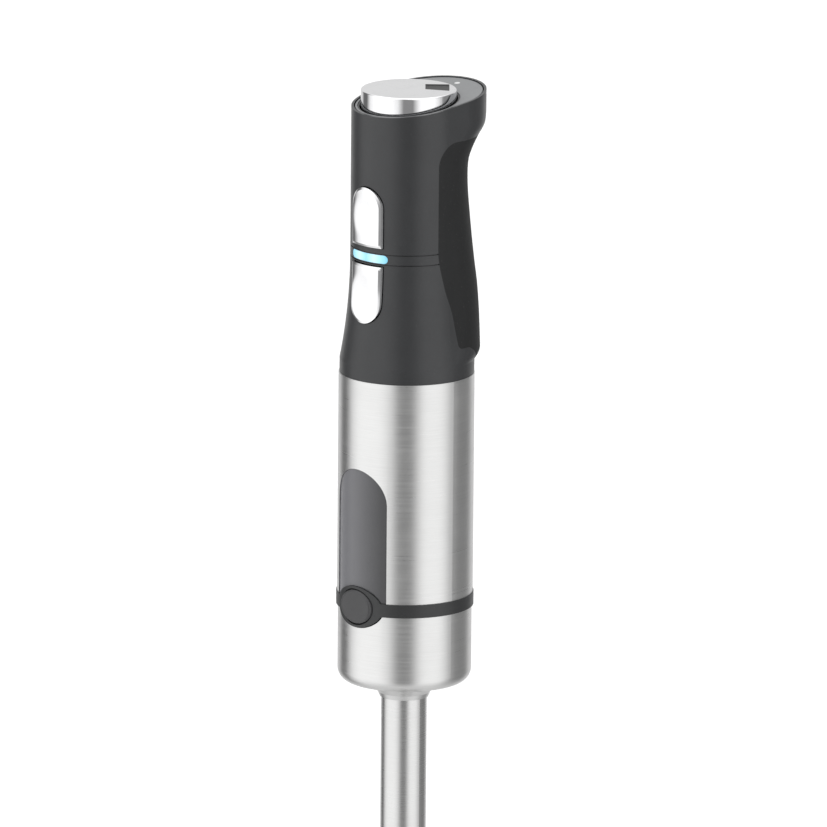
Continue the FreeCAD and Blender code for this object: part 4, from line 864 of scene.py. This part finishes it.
@dataclass
class Studio:
    """A plain pale floor, soft light all round and the camera."""

    azimuth: float = 46.0
    elevation: float = 13.2
    roll: float = 0.466
    distance: float = 8.0
    width: float = 376.8
    aim_height: float = 268.5
    aim_right: float = 3.3
    sensor: float = 36.0
    floor_size: float = 30.0
    stops: tuple[tuple[float, float], ...] = field(
        default=(
            (-180, 0.75), (-150, 0.75), (-136, 0.15), (-120, 0.15), (-106, 0.95), (-88, 1.25), (-44, 1.25),
            (-26, 0.95), (-12, 0.27), (10, 0.27), (24, 0.95), (32, 1.2), (64, 1.2), (78, 0.85), (94, 0.25),
            (130, 0.25), (150, 0.75), (180, 0.75),
        )
    )

    def back(self) -> Vector:
        """The direction from the object to the camera."""
        turn, lift = math.radians(self.azimuth), math.radians(self.elevation)
        return Vector((math.sin(turn) * math.cos(lift), -math.cos(turn) * math.cos(lift), math.sin(lift)))

    def build(self) -> None:
        """Makes the floor, the light and the camera."""
        self.floor()
        self.light()
        self.camera()
        bpy.context.scene.view_settings.view_transform = "Standard"

    def floor(self) -> None:
        """Adds the floor under the guard's rim."""
        mesh = bpy.data.meshes.new("floor")
        floor = bpy.data.objects.new("floor", mesh)
        bpy.context.scene.collection.objects.link(floor)
        form = bmesh.new()
        bmesh.ops.create_grid(form, x_segments=1, y_segments=1, size=self.floor_size / 2)
        form.to_mesh(mesh)
        form.free()
        paint = Moulded("floor", (0.97, 0.97, 0.97), 0.8, grain=2.0, depth=0.0, tone=0.0)
        mesh.materials.append(paint.material())
        floor.visible_glossy = False

    def light(self) -> None:
        """Adds light from all round, brighter from two wide panels left and right of the camera."""
        world = bpy.data.worlds.new("studio")
        bpy.context.scene.world = world
        world.use_nodes = True
        graph = Graph(world.node_tree)
        way = graph.add("TexCoord").outputs["Generated"]
        turn = math.radians(self.azimuth)
        toward = graph.add(
            "VectorMath", {0: way, 1: (math.sin(turn), -math.cos(turn), 0)}, operation="DOT_PRODUCT"
        )
        aside = graph.add(
            "VectorMath", {0: way, 1: (math.cos(turn), math.sin(turn), 0)}, operation="DOT_PRODUCT"
        )
        angle = graph.math("ARCTAN2", aside.outputs["Value"], toward.outputs["Value"])
        share = graph.spread(angle, -math.pi, math.pi, 0.0, 1.0)
        ramp = graph.add("ValToRGB", {"Fac": share})
        points = ramp.color_ramp.elements
        top = max(level for _, level in self.stops)
        while len(points) < len(self.stops):
            points.new(0.5)
        for point, (degrees, level) in zip(points, self.stops):
            point.position = degrees / 360.0 + 0.5
            point.color = (level / top, level / top, level / top, 1.0)
        rise = graph.add("SeparateXYZ", {0: way}).outputs["Z"]
        overhead = graph.spread(rise, 0.45, 0.85, 0.0, 1.0)
        low = graph.spread(rise, -0.9, -0.5, 1.0, 0.0)
        panels = graph.add("VectorMath", {0: ramp.outputs["Color"], 1: (top, top, top)}, operation="MULTIPLY")
        sky = graph.tint(overhead, panels.outputs[0], (1.5, 1.5, 1.5))
        sky = graph.tint(low, sky, (0.8, 0.8, 0.8))
        seen = graph.add("LightPath").outputs["Is Camera Ray"]
        sky = graph.tint(seen, sky, (1.05, 1.05, 1.05))
        graph.tree.links.new(sky, world.node_tree.nodes["Background"].inputs["Color"])

    def camera(self) -> None:
        """Adds the camera."""
        lens = bpy.data.cameras.new("camera")
        lens.sensor_width = self.sensor
        lens.lens = self.sensor * self.distance / (self.width * MM)
        lens.clip_end = 200.0
        camera = bpy.data.objects.new("camera", lens)
        bpy.context.scene.collection.objects.link(camera)
        turn = math.radians(self.azimuth)
        aim = Vector((math.cos(turn), math.sin(turn), 0)) * self.aim_right * MM
        aim.z = self.aim_height * MM
        back = self.back()
        facing = back.to_track_quat("Z", "Y").to_matrix().to_4x4()
        lean = Matrix.Rotation(math.radians(self.roll), 4, "Z")
        camera.matrix_world = Matrix.Translation(aim + back * self.distance) @ facing @ lean
        bpy.context.scene.camera = camera


def main() -> None:
    """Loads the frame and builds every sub-assembly."""
    logging.basicConfig(level=logging.INFO, format="%(message)s")
    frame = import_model()
    for part in (Foot(frame), LowerBody(frame), Motor(frame), Handle(frame)):
        part.build()
    Studio().build()
    bpy.context.view_layer.update()


if __name__ == "__main__":
    main()
